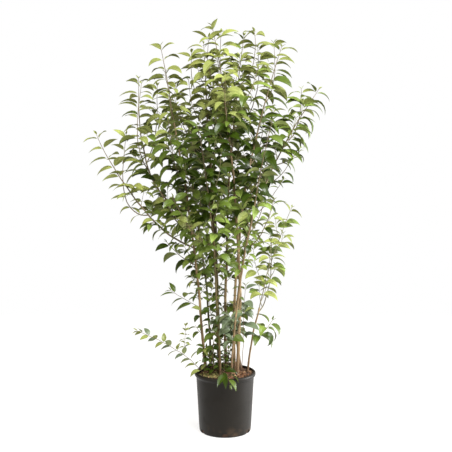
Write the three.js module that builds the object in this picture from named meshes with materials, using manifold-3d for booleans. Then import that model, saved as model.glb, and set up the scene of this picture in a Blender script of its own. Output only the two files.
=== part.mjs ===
// A Japanese privet, a shrub of many stems about 1.85 m tall, in a round black nursery pot.
// Millimetres, +Z up, +X to the right and +Y away from the viewer.
// The origin is on the underside of the pot, at its middle.

import * as THREE from "three";
import { mergeVertices } from "three/addons/utils/BufferGeometryUtils.js";
import Module from "manifold-3d";

// Clearance between pieces that meet
const GAP = 0.3;

// Corners closer than this are one corner
const MERGE_DISTANCE = 1e-4;

// Where the pieces of a spray are joined, details under the tolerance are closed up,
// and no sliver that is left is thinner than the thinnest
const JOIN_TOLERANCE = 0.02;
const THINNEST = 0.003;

// Pot
const POT_HEIGHT = 278;
const RIM_DIAMETER = 280;
const LIP_HEIGHT = 28;
const LIP_OVERHANG = 6.5;
const LIP_TAPER = 9;
const LIP_ROUND = 6;
const FOOT_DIAMETER = 237;
const FOOT_ROUND = 8;
const POT_WALL = 4;
const POT_SIDES = 32;
const DRAIN_HOLES = 6;
const DRAIN_WIDTH = 26;
const DRAIN_HEIGHT = 20;
const DRAIN_DEPTH = 10;

// Substrate in the pot
const SOIL_BELOW_RIM = 9;
const SOIL_TOP = POT_HEIGHT - SOIL_BELOW_RIM;

// Wood
const STEM_SIDES = 7;
const STEM_STEP = 150;
const TIP_DIAMETER = 4.8;
const ROOT_FLARE = 0.45;
const FLARE_HEIGHT = 45;
const BRANCH_LEAN = 32;
const BRANCH_BOW = 0.4;
const HEIGHT_HALVINGS = 30;
const SEATING_STEPS = 4;
const SEATING_REACH = 10;

// Twigs: each is bare for a length, then bears a pair of leaves at every node,
// and side twigs on its lower part
const TWIG_DIAMETER = 6.4;
const TWIG_SIDES = 3;
const TWIG_STEP = 120;
const TIP_TWIG_FIT = 0.96;
const BARE_LENGTH = 55;
const NODE_SPACING = 88;
const LAST_NODE = 0.985;
const SIDE_TWIGS = 2;
const SIDE_TWIG_SPACING = 150;
const SIDE_TWIG_SHARE = 0.42;
const SIDE_TWIG_TURN = 48;
const SIDE_TWIG_END = 0.66;
const SIDE_TWIG_FIT = 0.8;
const SIDE_TWIG_YOUTH = 0.25;
const SHORTEST_TWIG = 60;
const SPRIG_SIDE_TWIGS = 1;
const SPRIG_LEAF_SIZE = 0.62;
const SPRIG_YOUTH = 0.2;

// Leaves: lengths in millimetres, turns in degrees, and the rest as shares of the leaf
const LEAF_LENGTH = 126;
const LEAF_WIDTH = 64;
const LEAF_THICKNESS = 1.7;
const LEAF_THICKEST = 0.24;
const LEAF_WIDEST = 0.46;
const LEAF_STALK = 14;
const LEAF_FOLD = 0.1;
const LEAF_ROOM = 0.5;
const LEAF_TURNS = [0, 24, -24, 48, -48];
const LEAF_SPREAD = 58;
const LEAF_DROOP = 84;
const YOUNG_SIZE = 0.5;
const YOUNG_SPREAD = 44;
const YOUNG_DROOP = 64;

// How much twigs and leaves vary: the least share and the most that is added to it,
// or a span of degrees about the middle
const REACH_LEAST = 0.8;
const REACH_ADDED = 0.4;
const SIZE_LEAST = 0.86;
const SIZE_ADDED = 0.22;
const DROOP_LEAST = 0.75;
const DROOP_ADDED = 0.5;
const TURN_SPAN = 40;
const SPREAD_SPAN = 24;
const ROLL_SPAN = 52;
const SEED = 7384;
const SEED_STEP = 100;
const SEEDS_TRIED = 60;

// Stems: foot on the substrate, waist half way along, tip, diameter at the foot,
// the share of the length that is bare wood, and the size of the leaves where they are small
const STEMS = {
  left: { foot: [-88, 8], waist: [-166, -15, 1000], tip: [-283, -50, 1745], thick: 13, wood: 0.77 },
  left_back: { foot: [-66, 52], waist: [-110, 112, 860], tip: [-230, 285, 1500], thick: 10, wood: 0.7 },
  centre_left: { foot: [-25, 24], waist: [-55, 42, 960], tip: [-97, 60, 1765], thick: 17, wood: 0.76 },
  centre: { foot: [54, -22], waist: [46, -48, 1050], tip: [-58, -62, 1830], thick: 15, wood: 0.77 },
  centre_back: { foot: [4, 58], waist: [12, 72, 1000], tip: [84, 64, 1800], thick: 14, wood: 0.76 },
  right: { foot: [44, 22], waist: [76, 16, 1000], tip: [250, -12, 1745], thick: 14, wood: 0.74 },
  right_far: { foot: [76, 50], waist: [104, 58, 900], tip: [420, 30, 1560], thick: 12, wood: 0.72 },
  back_right: { foot: [36, 84], waist: [92, 180, 860], tip: [232, 330, 1480], thick: 12, wood: 0.7 },
  back: { foot: [-30, 84], waist: [-42, 200, 900], tip: [-60, 365, 1580], thick: 12, wood: 0.72 },
  front: { foot: [-22, -52], waist: [-48, -150, 840], tip: [-112, -325, 1400], thick: 9, wood: 0.7 },
  front_right: { foot: [26, -66], waist: [88, -150, 820], tip: [196, -310, 1420], thick: 9, wood: 0.7 },
  right_small: {
    foot: [101, 2], waist: [166, -4, 640], tip: [300, -22, 1036], thick: 9, wood: 0.4, leafSize: 0.72,
  },
};

// Boughs: the stem and the height that each leaves, the way it sets out in degrees from +X towards +Y,
// its tip, its diameter at the stem, and the share of the length that is bare wood
const BOUGHS = {
  far_left: { stem: "left", height: 850, way: 186, tip: [-568, -48, 1360], thick: 8, wood: 0.5 },
  near_left: { stem: "left", height: 985, way: 168, tip: [-390, 62, 1610], thick: 8, wood: 0.52 },
};

// Side sprays on each limb: height of the root, way in degrees from +X towards +Y, reach, and rise in degrees
const SIDE_SPRAYS = {
  left: [[770, 205, 175, 40], [930, 222, 270, 48], [1150, 252, 330, 55]],
  left_back: [[880, 195, 320, 50]],
  centre_left: [[960, 228, 320, 55], [1250, 168, 320, 60]],
  centre: [[1010, 312, 300, 50], [1300, 262, 350, 64], [1400, 345, 280, 62]],
  centre_back: [[900, 62, 300, 50], [1300, 100, 350, 64], [1380, 12, 390, 74]],
  right: [[950, 328, 300, 45], [1220, 62, 300, 60]],
  right_far: [[1130, 316, 210, 40], [1220, 0, 130, 30], [1330, 50, 260, 66]],
  back_right: [[880, 56, 300, 52]],
  back: [[900, 132, 310, 50]],
  front: [[870, 205, 290, 50]],
  front_right: [[870, 306, 290, 50]],
  right_small: [[555, 60, 440, 78]],
  far_left: [[1000, 182, 375, 76]],
  near_left: [[1200, 255, 390, 79], [1230, 60, 360, 76]],
};

// Low sprigs that come up from the substrate: root, bend and tip, and a spur low on a stem
const SPRIGS = {
  low_left: { root: [-98, -18, SOIL_TOP], bend: [-185, -30, 392], tip: [-398, -42, 474] },
  low_centre: { root: [-55, -16, SOIL_TOP], bend: [-52, -52, 440], tip: [-72, -78, 640] },
  over_rim: { root: [-30, -84, SOIL_TOP], bend: [-12, -150, 360], tip: [22, -168, 262] },
  low_right: { root: [78, -34, SOIL_TOP], bend: [76, -54, 470], tip: [92, -74, 690] },
};
const SPUR = { name: "left_spur", stem: "left", row: [575, 186, 150, 32], leafSize: 0.78, youth: 0.15 };

// Colours
const POT_FINISH = { color: 0x2e2c29, roughness: 0.55, metalness: 0 };
const SOIL_FINISH = { color: 0x5a3c28, roughness: 0.95, metalness: 0 };
const WOOD_FINISH = { color: 0x8a7355, roughness: 0.85, metalness: 0 };
const LEAF_FINISH = { color: 0x4c7a2e, roughness: 0.45, metalness: 0 };

const UP = new THREE.Vector3(0, 0, 1);
const RIGHT = new THREE.Vector3(1, 0, 0);

const wasm = await Module();
wasm.setup();

const radians = THREE.MathUtils.degToRad;
const { lerp } = THREE.MathUtils;
const vector = (point) => new THREE.Vector3(...point);

// A repeatable run of numbers from 0 to 1
function seeded(seed) {
  let state = seed;
  return () => {
    state = (state + 0x6d2b79f5) | 0;
    let mixed = Math.imul(state ^ (state >>> 15), 1 | state);
    mixed = (mixed + Math.imul(mixed ^ (mixed >>> 7), 61 | mixed)) ^ mixed;
    return ((mixed ^ (mixed >>> 14)) >>> 0) / 2 ** 32;
  };
}

// A closed geometry as a solid that can be joined and cut
function solidFrom(geometry) {
  const bare = new THREE.BufferGeometry();
  bare.setAttribute("position", geometry.getAttribute("position"));
  bare.setIndex(geometry.getIndex());
  const merged = mergeVertices(bare, MERGE_DISTANCE);
  const corners = merged.getIndex().array;
  const triangles = [];
  for (let i = 0; i < corners.length; i += 3) {
    const [a, b, c] = corners.slice(i, i + 3);
    if (a !== b && b !== c && c !== a) triangles.push(a, b, c);
  }
  return new wasm.Manifold(new wasm.Mesh({
    numProp: 3,
    vertProperties: merged.getAttribute("position").array,
    triVerts: new Uint32Array(triangles),
  }));
}

// The largest body of a solid as a geometry: inner hollows are filled and loose scraps dropped
function geometryFrom(solid) {
  const bodies = solid.decompose();
  bodies.sort((a, b) => b.volume() - a.volume());
  const mesh = bodies[0].getMesh();
  const geometry = new THREE.BufferGeometry();
  geometry.setAttribute("position", new THREE.BufferAttribute(mesh.vertProperties, 3));
  geometry.setIndex(new THREE.BufferAttribute(mesh.triVerts, 1));
  geometry.computeVertexNormals();
  return geometry;
}

function addPiece(plant, name, geometry, finish) {
  const piece = new THREE.Mesh(geometry, new THREE.MeshStandardMaterial(finish));
  piece.name = name;
  plant.add(piece);
}

// Radius of the pot's outer wall at a height
function wallRadius(height) {
  const foot = FOOT_DIAMETER / 2;
  const top = RIM_DIAMETER / 2 - LIP_OVERHANG;
  return foot + (top - foot) * (height / POT_HEIGHT);
}

// A solid turned about +Z from an outline of radius and height
function turned(outline) {
  const lathe = new THREE.LatheGeometry(outline, POT_SIDES);
  return lathe.rotateX(Math.PI / 2);
}

function potGeometry() {
  const rim = RIM_DIAMETER / 2;
  const lipFoot = POT_HEIGHT - LIP_HEIGHT;
  const inner = (height) => wallRadius(height) - POT_WALL;
  const outline = new THREE.Path();
  outline.moveTo(0, 0);
  outline.lineTo(wallRadius(0) - FOOT_ROUND, 0);
  outline.quadraticCurveTo(wallRadius(0), 0, wallRadius(FOOT_ROUND), FOOT_ROUND);
  outline.lineTo(wallRadius(lipFoot), lipFoot);
  outline.lineTo(rim - LIP_ROUND / 3, lipFoot + LIP_TAPER);
  outline.lineTo(rim, lipFoot + LIP_TAPER + LIP_ROUND);
  outline.lineTo(rim, POT_HEIGHT - LIP_ROUND);
  outline.quadraticCurveTo(rim, POT_HEIGHT, rim - LIP_ROUND, POT_HEIGHT);
  outline.lineTo(inner(POT_HEIGHT), POT_HEIGHT);
  outline.lineTo(inner(POT_WALL), POT_WALL);
  outline.lineTo(0, POT_WALL);
  let pot = solidFrom(turned(outline.getPoints(2)));
  for (let hole = 0; hole < DRAIN_HOLES; hole++) {
    const notch = new THREE.BoxGeometry(DRAIN_WIDTH, 2 * DRAIN_DEPTH + FOOT_ROUND, 2 * DRAIN_HEIGHT);
    notch.translate(0, -wallRadius(0), 0);
    notch.rotateZ((hole * 2 * Math.PI) / DRAIN_HOLES);
    pot = pot.subtract(solidFrom(notch));
  }
  return geometryFrom(pot);
}

function soilGeometry() {
  const inner = (height) => wallRadius(height) - POT_WALL - GAP;
  const floor = POT_WALL + GAP;
  const outline = [
    new THREE.Vector2(0, floor),
    new THREE.Vector2(inner(floor), floor),
    new THREE.Vector2(inner(SOIL_TOP), SOIL_TOP),
    new THREE.Vector2(0, SOIL_TOP),
  ];
  return geometryFrom(solidFrom(turned(outline)));
}

// The stretch of a curve between two shares of its length
class Stretch extends THREE.Curve {
  constructor(curve, from, to) {
    super();
    this.curve = curve;
    this.from = from;
    this.to = to;
  }

  getPoint(share, target = new THREE.Vector3()) {
    return this.curve.getPointAt(lerp(this.from, this.to, share), target);
  }
}

// A round limb: a closed cylinder bent along a curve, with its radius given by the share of the length.
// A level foot is cut flat across at the height of the curve's start.
function limbGeometry(curve, radiusAt, sides, steps, levelFoot = false) {
  const geometry = new THREE.CylinderGeometry(1, 1, 1, sides, steps);
  const frames = curve.computeFrenetFrames(steps);
  const places = geometry.getAttribute("position");
  const point = new THREE.Vector3();
  for (let i = 0; i < places.count; i++) {
    const step = Math.round((places.getY(i) + 0.5) * steps);
    const radius = radiusAt(step / steps);
    curve.getPointAt(step / steps, point);
    const base = point.z;
    point.addScaledVector(frames.binormals[step], places.getX(i) * radius);
    point.addScaledVector(frames.normals[step], places.getZ(i) * radius);
    const tangent = frames.tangents[step];
    if (levelFoot && step === 0) point.addScaledVector(tangent, (base - point.z) / tangent.z);
    places.setXYZ(i, point.x, point.y, point.z);
  }
  return geometry;
}

// Share of a rising curve's length at which it reaches a height
function shareAtHeight(curve, height) {
  let low = 0;
  let high = 1;
  for (let i = 0; i < HEIGHT_HALVINGS; i++) {
    const middle = (low + high) / 2;
    if (curve.getPointAt(middle).z < height) low = middle;
    else high = middle;
  }
  return low;
}

// A limb's curve, its radius by share of length, and the share that is bare wood
function stemLimb(name, { foot, waist, tip, thick, wood, leafSize }) {
  const start = vector([...foot, SOIL_TOP + GAP]);
  const end = vector(tip);
  const bend = vector(waist).multiplyScalar(2).addScaledVector(start, -0.5).addScaledVector(end, -0.5);
  const curve = new THREE.QuadraticBezierCurve3(start, bend, end);
  const length = curve.getLength();
  const flare = (share) => 1 + ROOT_FLARE * Math.exp((-share * length) / FLARE_HEIGHT);
  const radiusAt = (share) => (flare(share) * lerp(thick, TIP_DIAMETER, share)) / 2;
  return { name, curve, radiusAt, wood, leafSize };
}

// Curve of a branch that leaves a limb at a height, set out in a way and leaning upward, and ends at its tip.
// Its root is moved in towards the limb by a shift.
function branchCurve(limb, height, way, radius, shift, tipFrom) {
  const share = shareAtHeight(limb.curve, height);
  const tangent = limb.curve.getTangentAt(share);
  const level = new THREE.Vector3(Math.cos(radians(way)), Math.sin(radians(way)), 0);
  const out = level.clone().addScaledVector(tangent, -level.dot(tangent)).normalize();
  const lean = radians(BRANCH_LEAN);
  const clear = limb.radiusAt(share) + GAP + radius * Math.sin(lean) - shift;
  const start = limb.curve.getPointAt(share).addScaledVector(out, clear);
  const tip = tipFrom(start, level);
  const setOut = out.multiplyScalar(Math.cos(lean)).addScaledVector(tangent, Math.sin(lean));
  const bend = start.clone().addScaledVector(setOut, BRANCH_BOW * start.distanceTo(tip));
  return new THREE.QuadraticBezierCurve3(start, bend, tip);
}

function boughLimb(name, stem, { height, way, tip, thick, wood }) {
  const radiusAt = (share) => lerp(thick, TIP_DIAMETER, share) / 2;
  const boughAt = (shift) => {
    const curve = branchCurve(stem, height, way, thick / 2, shift, () => vector(tip));
    return { name, curve, radiusAt, wood };
  };
  return seated(stem, boughAt, (bough) => solidFrom(woodGeometry(bough)));
}

// The bare wood of a limb
function woodGeometry(limb, levelFoot = false) {
  const wood = new Stretch(limb.curve, 0, limb.wood);
  const steps = Math.round(wood.getLength() / STEM_STEP) + 2;
  const radiusAt = (part) => limb.radiusAt(part * limb.wood);
  return limbGeometry(wood, radiusAt, STEM_SIDES, steps, levelFoot);
}

// A branch shifted along its way until it stands clear by the gap of its limb,
// which is bare wood with the tip's twig carrying on from it
function seated(limb, branchAt, solidOf) {
  let shift = 0;
  for (let i = 0; i < SEATING_STEPS; i++) {
    const branch = solidOf(branchAt(shift));
    const gaps = limb.solids.map((solid) => branch.minGap(solid, SEATING_REACH));
    shift += Math.min(...gaps) - GAP;
  }
  return branchAt(shift);
}

// A spray's own stem, from its reach and rise
function sideTwig(limb, [height, way, reach, rise], leafSize, youth, sideTwigs) {
  const tipFrom = (start, level) => start.clone()
    .addScaledVector(level, reach * Math.cos(radians(rise)))
    .addScaledVector(UP, reach * Math.sin(radians(rise)));
  const twigAt = (shift) => {
    const curve = branchCurve(limb, height, way, TWIG_DIAMETER / 2, shift, tipFrom);
    return plainTwig(curve, leafSize, youth, sideTwigs);
  };
  return seated(limb, twigAt, twigSolid);
}

// Two directions square to a twig and to each other, the first of them level
function squareTo(tangent) {
  const level = new THREE.Vector3().crossVectors(tangent, UP);
  if (level.lengthSq() < 1e-4) level.copy(RIGHT);
  level.normalize();
  return [level, new THREE.Vector3().crossVectors(level, tangent).normalize()];
}

// A direction that leaves a twig at an angle to it, turned about it
function directionFrom(tangent, turn, spread) {
  const [level, square] = squareTo(tangent);
  return tangent.clone().multiplyScalar(Math.cos(spread))
    .addScaledVector(level, Math.sin(spread) * Math.cos(turn))
    .addScaledVector(square, Math.sin(spread) * Math.sin(turn));
}

// A leaf: an octahedron drawn out into a pointed blade that arches over along its rib and folds up
// at its edges. Its base lies a stalk's length from its root, and room makes it that much fatter.
function leafSolid({ root, direction, length, droop, roll }, stalk = 0, room = 0) {
  const level = new THREE.Vector3(direction.x, direction.y, 0).normalize();
  const aside = new THREE.Vector3().crossVectors(UP, level);
  const rise = Math.asin(direction.z);
  const width = length * (LEAF_WIDTH / LEAF_LENGTH);
  const ribAt = (share) => {
    const slope = rise - droop * share;
    const along = (length * (Math.sin(rise) - Math.sin(slope))) / droop;
    const upward = (length * (Math.cos(slope) - Math.cos(rise))) / droop;
    const point = root.clone().addScaledVector(level, along).addScaledVector(UP, upward);
    const rib = level.clone().multiplyScalar(Math.cos(slope)).addScaledVector(UP, Math.sin(slope));
    const across = aside.clone().applyAxisAngle(rib, roll);
    return { point, across, normal: new THREE.Vector3().crossVectors(rib, across) };
  };
  const tip = ribAt(1);
  const wide = ribAt(LEAF_WIDEST);
  const thick = ribAt(LEAF_THICKEST);
  const blade = new THREE.OctahedronGeometry(1);
  const places = blade.getAttribute("position");
  for (let i = 0; i < places.count; i++) {
    const [end, edge, face] = [places.getX(i), places.getY(i), places.getZ(i)].map(Math.round);
    const point = root.clone().addScaledVector(direction, stalk);
    if (end > 0) point.copy(tip.point);
    if (edge) {
      point.copy(wide.point).addScaledVector(wide.across, edge * (width / 2 + room));
      point.addScaledVector(wide.normal, LEAF_FOLD * width);
    }
    if (face) point.copy(thick.point).addScaledVector(thick.normal, face * (LEAF_THICKNESS / 2 + room));
    places.setXYZ(i, point.x, point.y, point.z);
  }
  return solidFrom(blade);
}

// Number of straight stretches that a twig's solid is made of
function twigSteps(twig) {
  return Math.ceil(twig.curve.getLength() / TWIG_STEP);
}

// The place at a share of a twig's length, on the axis of its straight stretches, and the direction there
function placeOn(twig, share) {
  const steps = twigSteps(twig);
  const step = Math.floor(share * steps);
  const from = twig.curve.getPointAt(step / steps);
  const to = twig.curve.getPointAt((step + 1) / steps);
  const tangent = to.clone().sub(from).normalize();
  return { root: from.lerp(to, share * steps - step), tangent };
}

// A leaf turned about the upright through its root
function turnedLeaf(leaf, turn) {
  return { ...leaf, direction: leaf.direction.clone().applyAxisAngle(UP, turn) };
}

// Pairs of leaves along a twig, each pair a quarter turn from the last,
// younger and more upright towards the tip
function leavesAlong(twig, random) {
  const length = twig.curve.getLength();
  const first = Math.min(BARE_LENGTH, length / 3);
  const pairs = Math.max(1, Math.round((length - first) / NODE_SPACING));
  const leaves = [];
  const start = random() * Math.PI;
  for (let pair = 0; pair <= pairs; pair++) {
    const share = lerp(first / length, LAST_NODE, pair / pairs);
    const { root, tangent } = placeOn(twig, share);
    const young = twig.youth + (1 - twig.youth) * (pair / pairs) ** 2;
    for (const side of [0, Math.PI]) {
      const turn = start + side + (pair * Math.PI) / 2 + radians((random() - 0.5) * TURN_SPAN);
      const spread = lerp(LEAF_SPREAD, YOUNG_SPREAD, young) + (random() - 0.5) * SPREAD_SPAN;
      const size = lerp(1, YOUNG_SIZE, young) * (SIZE_LEAST + SIZE_ADDED * random());
      const droop = lerp(LEAF_DROOP, YOUNG_DROOP, young) * (DROOP_LEAST + DROOP_ADDED * random());
      leaves.push({
        root,
        direction: directionFrom(tangent, turn, radians(spread)),
        length: LEAF_LENGTH * size * twig.leafSize,
        droop: radians(droop),
        roll: radians((random() - 0.5) * ROLL_SPAN),
      });
    }
  }
  return leaves;
}

// Side twigs in the axils of the lower nodes, one at a node and a third of a turn from the last
function sideTwigs(twig, random) {
  const length = twig.curve.getLength();
  const twigs = [];
  const start = random() * 2 * Math.PI;
  let count = 0;
  const end = Math.min(SIDE_TWIG_END * length, BARE_LENGTH + twig.sideTwigs * SIDE_TWIG_SPACING);
  for (let place = BARE_LENGTH; place < end; place += SIDE_TWIG_SPACING) {
    const share = place / length;
    const reach = (length - place) * SIDE_TWIG_SHARE * (REACH_LEAST + REACH_ADDED * random());
    const turn = start + (count * 2 * Math.PI) / 3 + random();
    count += 1;
    if (reach < SHORTEST_TWIG) continue;
    const { root, tangent } = placeOn(twig, share);
    const setOut = directionFrom(tangent, turn, radians(SIDE_TWIG_TURN));
    const radius = twig.radiusAt(share) * SIDE_TWIG_FIT;
    twigs.push({
      curve: new THREE.LineCurve3(root, root.clone().addScaledVector(setOut, reach)),
      radiusAt: (part) => lerp(radius, TIP_DIAMETER / 2, part),
      leafSize: twig.leafSize,
      youth: SIDE_TWIG_YOUTH,
    });
  }
  return twigs;
}

function twigSolid(twig) {
  return solidFrom(limbGeometry(twig.curve, twig.radiusAt, TWIG_SIDES, twigSteps(twig), twig.levelFoot));
}

// A solid with the box round it
function boxed(solid) {
  return { solid, box: solid.boundingBox() };
}

// The first of some boxed solids that another one meets
function firstMet({ solid, box }, others) {
  return others.find((other) => {
    const apart = [0, 1, 2].some((axis) =>
      box.max[axis] < other.box.min[axis] || box.min[axis] > other.box.max[axis]);
    return !apart && !solid.intersect(other.solid).isEmpty();
  });
}

// The pieces placed so far, by the name of the node that they belong to
const placed = {};

function takeRoom(name, solid) {
  placed[name] ??= [];
  placed[name].push(boxed(solid));
}

// Name of another node that a solid meets, if there is one
function nodeMet(name, solid) {
  const piece = boxed(solid);
  return Object.keys(placed).find((other) => other !== name && firstMet(piece, placed[other]));
}

// The pieces of a spray: its stem, its side twigs and their leaves. A twig or leaf that would meet
// another node is left out, and so is a blade that would cut another of its spray.
function sprayPieces(name, stem, random) {
  const pieces = [twigSolid(stem)];
  const twigs = [stem];
  for (const twig of sideTwigs(stem, random)) {
    const solid = twigSolid(twig);
    if (nodeMet(name, solid)) continue;
    pieces.push(solid);
    twigs.push(twig);
  }
  const blades = [];
  const fits = (leaf) => !firstMet(boxed(leafSolid(leaf, LEAF_STALK)), blades)
    && !nodeMet(name, leafSolid(leaf, 0, LEAF_ROOM));
  for (const leaf of twigs.flatMap((twig) => leavesAlong(twig, random))) {
    const turned = LEAF_TURNS.map((turn) => turnedLeaf(leaf, radians(turn))).find(fits);
    if (!turned) continue;
    blades.push(boxed(leafSolid(turned, LEAF_STALK)));
    pieces.push(leafSolid(turned));
  }
  return pieces;
}

// Height of the flattest triangle of a geometry
function flattest(geometry) {
  const places = geometry.getAttribute("position");
  const corners = geometry.getIndex().array;
  const triangle = new THREE.Triangle();
  let least = Infinity;
  for (let i = 0; i < corners.length; i += 3) {
    triangle.setFromAttributeAndIndices(places, corners[i], corners[i + 1], corners[i + 2]);
    const { a, b, c } = triangle;
    const longest = Math.max(a.distanceTo(b), b.distanceTo(c), c.distanceTo(a));
    least = Math.min(least, (2 * triangle.getArea()) / longest);
  }
  return least;
}

// A spray as one solid, grown again from another seed where its joined surface would hold a sliver
function sprayGeometry(name, stem, seed) {
  for (let attempt = 0; attempt < SEEDS_TRIED; attempt++) {
    const pieces = sprayPieces(name, stem, seeded(seed + attempt * SEED_STEP));
    const geometry = geometryFrom(wasm.Manifold.union(pieces).asOriginal().simplify(JOIN_TOLERANCE));
    if (flattest(geometry) < THINNEST) continue;
    for (const piece of pieces) takeRoom(name, piece);
    return geometry;
  }
  throw new Error(`${name} holds a sliver with every seed`);
}

// A twig that carries on from the bare wood of a limb to the limb's tip
function tipTwig(limb) {
  const from = limb.wood + GAP / limb.curve.getLength();
  const radiusAt = (part) => limb.radiusAt(lerp(from, 1, part)) * TIP_TWIG_FIT;
  return { ...plainTwig(new Stretch(limb.curve, from, 1), limb.leafSize), radiusAt };
}

function plainTwig(curve, leafSize = 1, youth = 0, sideTwigs = SIDE_TWIGS) {
  const radiusAt = (part) => lerp(TWIG_DIAMETER, TIP_DIAMETER, part) / 2;
  return { curve, radiusAt, leafSize, youth, sideTwigs };
}

const plant = new THREE.Group();
plant.name = "potted_japanese_privet";

// Pot and substrate
const pot = potGeometry();
addPiece(plant, "pot", pot, POT_FINISH);
takeRoom("pot", solidFrom(pot));
const soil = soilGeometry();
addPiece(plant, "soil", soil, SOIL_FINISH);
takeRoom("soil", solidFrom(soil));

// Stems and boughs
const limbs = {};
function addLimb(kind, limb) {
  const name = `${kind}_${limb.name}`;
  const geometry = woodGeometry(limb, kind === "stem");
  const wood = solidFrom(geometry);
  limb.solids = [wood, twigSolid(tipTwig(limb))];
  limbs[limb.name] = limb;
  addPiece(plant, name, geometry, WOOD_FINISH);
  takeRoom(name, wood);
}
for (const [name, row] of Object.entries(STEMS)) addLimb("stem", stemLimb(name, row));
for (const [name, row] of Object.entries(BOUGHS)) addLimb("bough", boughLimb(name, limbs[row.stem], row));

// The stem of every spray, by name
const sprayStems = {};
for (const limb of Object.values(limbs)) sprayStems[`spray_${limb.name}_tip`] = tipTwig(limb);
for (const [name, rows] of Object.entries(SIDE_SPRAYS)) {
  rows.forEach((row, i) => {
    sprayStems[`spray_${name}_${i + 1}`] = sideTwig(limbs[name], row, limbs[name].leafSize);
  });
}
for (const [name, { root, bend, tip }] of Object.entries(SPRIGS)) {
  const start = vector(root).addScaledVector(UP, GAP);
  const curve = new THREE.QuadraticBezierCurve3(start, vector(bend), vector(tip));
  const twig = plainTwig(curve, SPRIG_LEAF_SIZE, SPRIG_YOUTH, SPRIG_SIDE_TWIGS);
  sprayStems[`sprig_${name}`] = { ...twig, levelFoot: true };
}
sprayStems[`sprig_${SPUR.name}`] = sideTwig(limbs[SPUR.stem], SPUR.row, SPUR.leafSize, SPUR.youth, 0);

// Sprays of leaves, grown once every spray's own stem has its room
for (const [name, stem] of Object.entries(sprayStems)) {
  const solid = twigSolid(stem);
  const other = nodeMet(name, solid);
  if (other) throw new Error(`the stem of ${name} meets ${other}`);
  takeRoom(name, solid);
}
Object.entries(sprayStems).forEach(([name, stem], i) => {
  addPiece(plant, name, sprayGeometry(name, stem, SEED + i), LEAF_FINISH);
});

export default plant;
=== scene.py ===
"""A Japanese privet in a black nursery pot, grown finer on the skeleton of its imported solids.

Metres, +Z up, +X to the right and +Y away from the viewer. The origin is under the middle of the pot.
"""

import math
from dataclasses import dataclass

import bpy
import numpy as np
from mathutils import Euler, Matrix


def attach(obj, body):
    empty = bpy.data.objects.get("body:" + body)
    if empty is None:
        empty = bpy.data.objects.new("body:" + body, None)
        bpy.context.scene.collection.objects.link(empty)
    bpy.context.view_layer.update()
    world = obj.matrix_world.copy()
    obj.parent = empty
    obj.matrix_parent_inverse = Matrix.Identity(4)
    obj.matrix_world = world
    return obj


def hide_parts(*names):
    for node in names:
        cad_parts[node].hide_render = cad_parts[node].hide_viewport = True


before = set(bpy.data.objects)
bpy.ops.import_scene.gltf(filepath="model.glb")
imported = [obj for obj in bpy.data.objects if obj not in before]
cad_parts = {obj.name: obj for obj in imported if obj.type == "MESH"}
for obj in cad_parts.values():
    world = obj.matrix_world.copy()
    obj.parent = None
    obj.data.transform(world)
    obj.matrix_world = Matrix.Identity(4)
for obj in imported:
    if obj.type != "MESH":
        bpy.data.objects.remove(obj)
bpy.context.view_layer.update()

SEED = 7384
FULL_TURN = 2 * math.pi
UP = np.array([0.0, 0.0, 1.0])
BROAD_SIDE = np.array([1.0, 0.0, 0.0])
ANY_DIRECTION = np.array([0.3, 0.5, 0.81])
BLACK = (0.0, 0.0, 0.0)
WHITE = (1.0, 1.0, 1.0)
# Gloss of the surfaces that have none of their own
PLAIN_SPECULAR = 0.5

# Camera: the photograph's own place and lens, looking along +Y and a little down
CAMERA_PLACE = (0.004, -4.08, 1.376)
CAMERA_PITCH = 6.0
CAMERA_LENS = 72.44
SENSOR_WIDTH = 36.0

# Studio: the floor's reach, tones and own glow, the strength of the light from the left and the right,
# and the place, power, width and colour of each lamp
FLOOR_REACH = 2.6
FLOOR_TONES = (0.19, 0.21)
FLOOR_ROUGHNESS = 0.9
FLOOR_GLOW = 0.82
SKY_LEFT = 0.38
SKY_RIGHT = 1.90
WARM = (1.0, 0.90, 0.74)
LAMPS = {
    "key": ((1.7, -3.0, 4.3), 420.0, 2.4, WHITE),
    "fill": ((-3.0, -2.6, 3.0), 100.0, 2.6, WARM),
    "side": ((2.2, 0.1, 0.5), 70.0, 1.0, WHITE),
}
LAMP_AIM = (0.0, 0.0, 0.95)

# Pot
POT_HEIGHT = 0.278
RIM_RADIUS = 0.140
LIP_HEIGHT = 0.028
LIP_OVERHANG = 0.0065
LIP_TAPER = 0.009
LIP_ROUND = 0.007
LIP_HOLLOW = 0.012
INNER_ROUND = 0.002
FOOT_RADIUS = 0.1185
FOOT_ROUND = 0.010
POT_WALL = 0.004
POT_SIDES = 120
BASE_RINGS = (0.3, 0.6, 0.8)
OUTER_RINGS = 16
INNER_RINGS = 8
LOWEST_RING = 0.03
HIGHEST_INNER_RING = POT_HEIGHT - 0.01
SHARP_ANGLE = 38.0
DRAIN_HOLES = 6
DRAIN_WIDTH = 0.026
DRAIN_HEIGHT = 0.020
DRAIN_ROUND = 0.006
DRAIN_DEPTH = 0.009
CUTTER_BELOW = 0.01
CUTTER_OUTSIDE = 0.02
POT_TONES = ((0.0060, 0.0046, 0.0028), (0.0090, 0.0072, 0.0048))
POT_DUST = (0.085, 0.050, 0.028)
POT_SCUFFS = (0.080, 0.078, 0.075)
DUST_HEIGHT = 0.06
POT_SPECULAR = 0.22

# Substrate: its top, how far its middle lies below that, and how uneven it is
SOIL_TOP = 0.269
SOIL_SINKING = 0.006
SOIL_MOUND = 0.006
SOIL_ROUGH = 0.0035
SOIL_GAP = 0.0005
SOIL_WAIST = 0.10
SOIL_RINGS = 26
SOIL_SIDES = 96
SOIL_COLOUR = (0.052, 0.025, 0.013)

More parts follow.
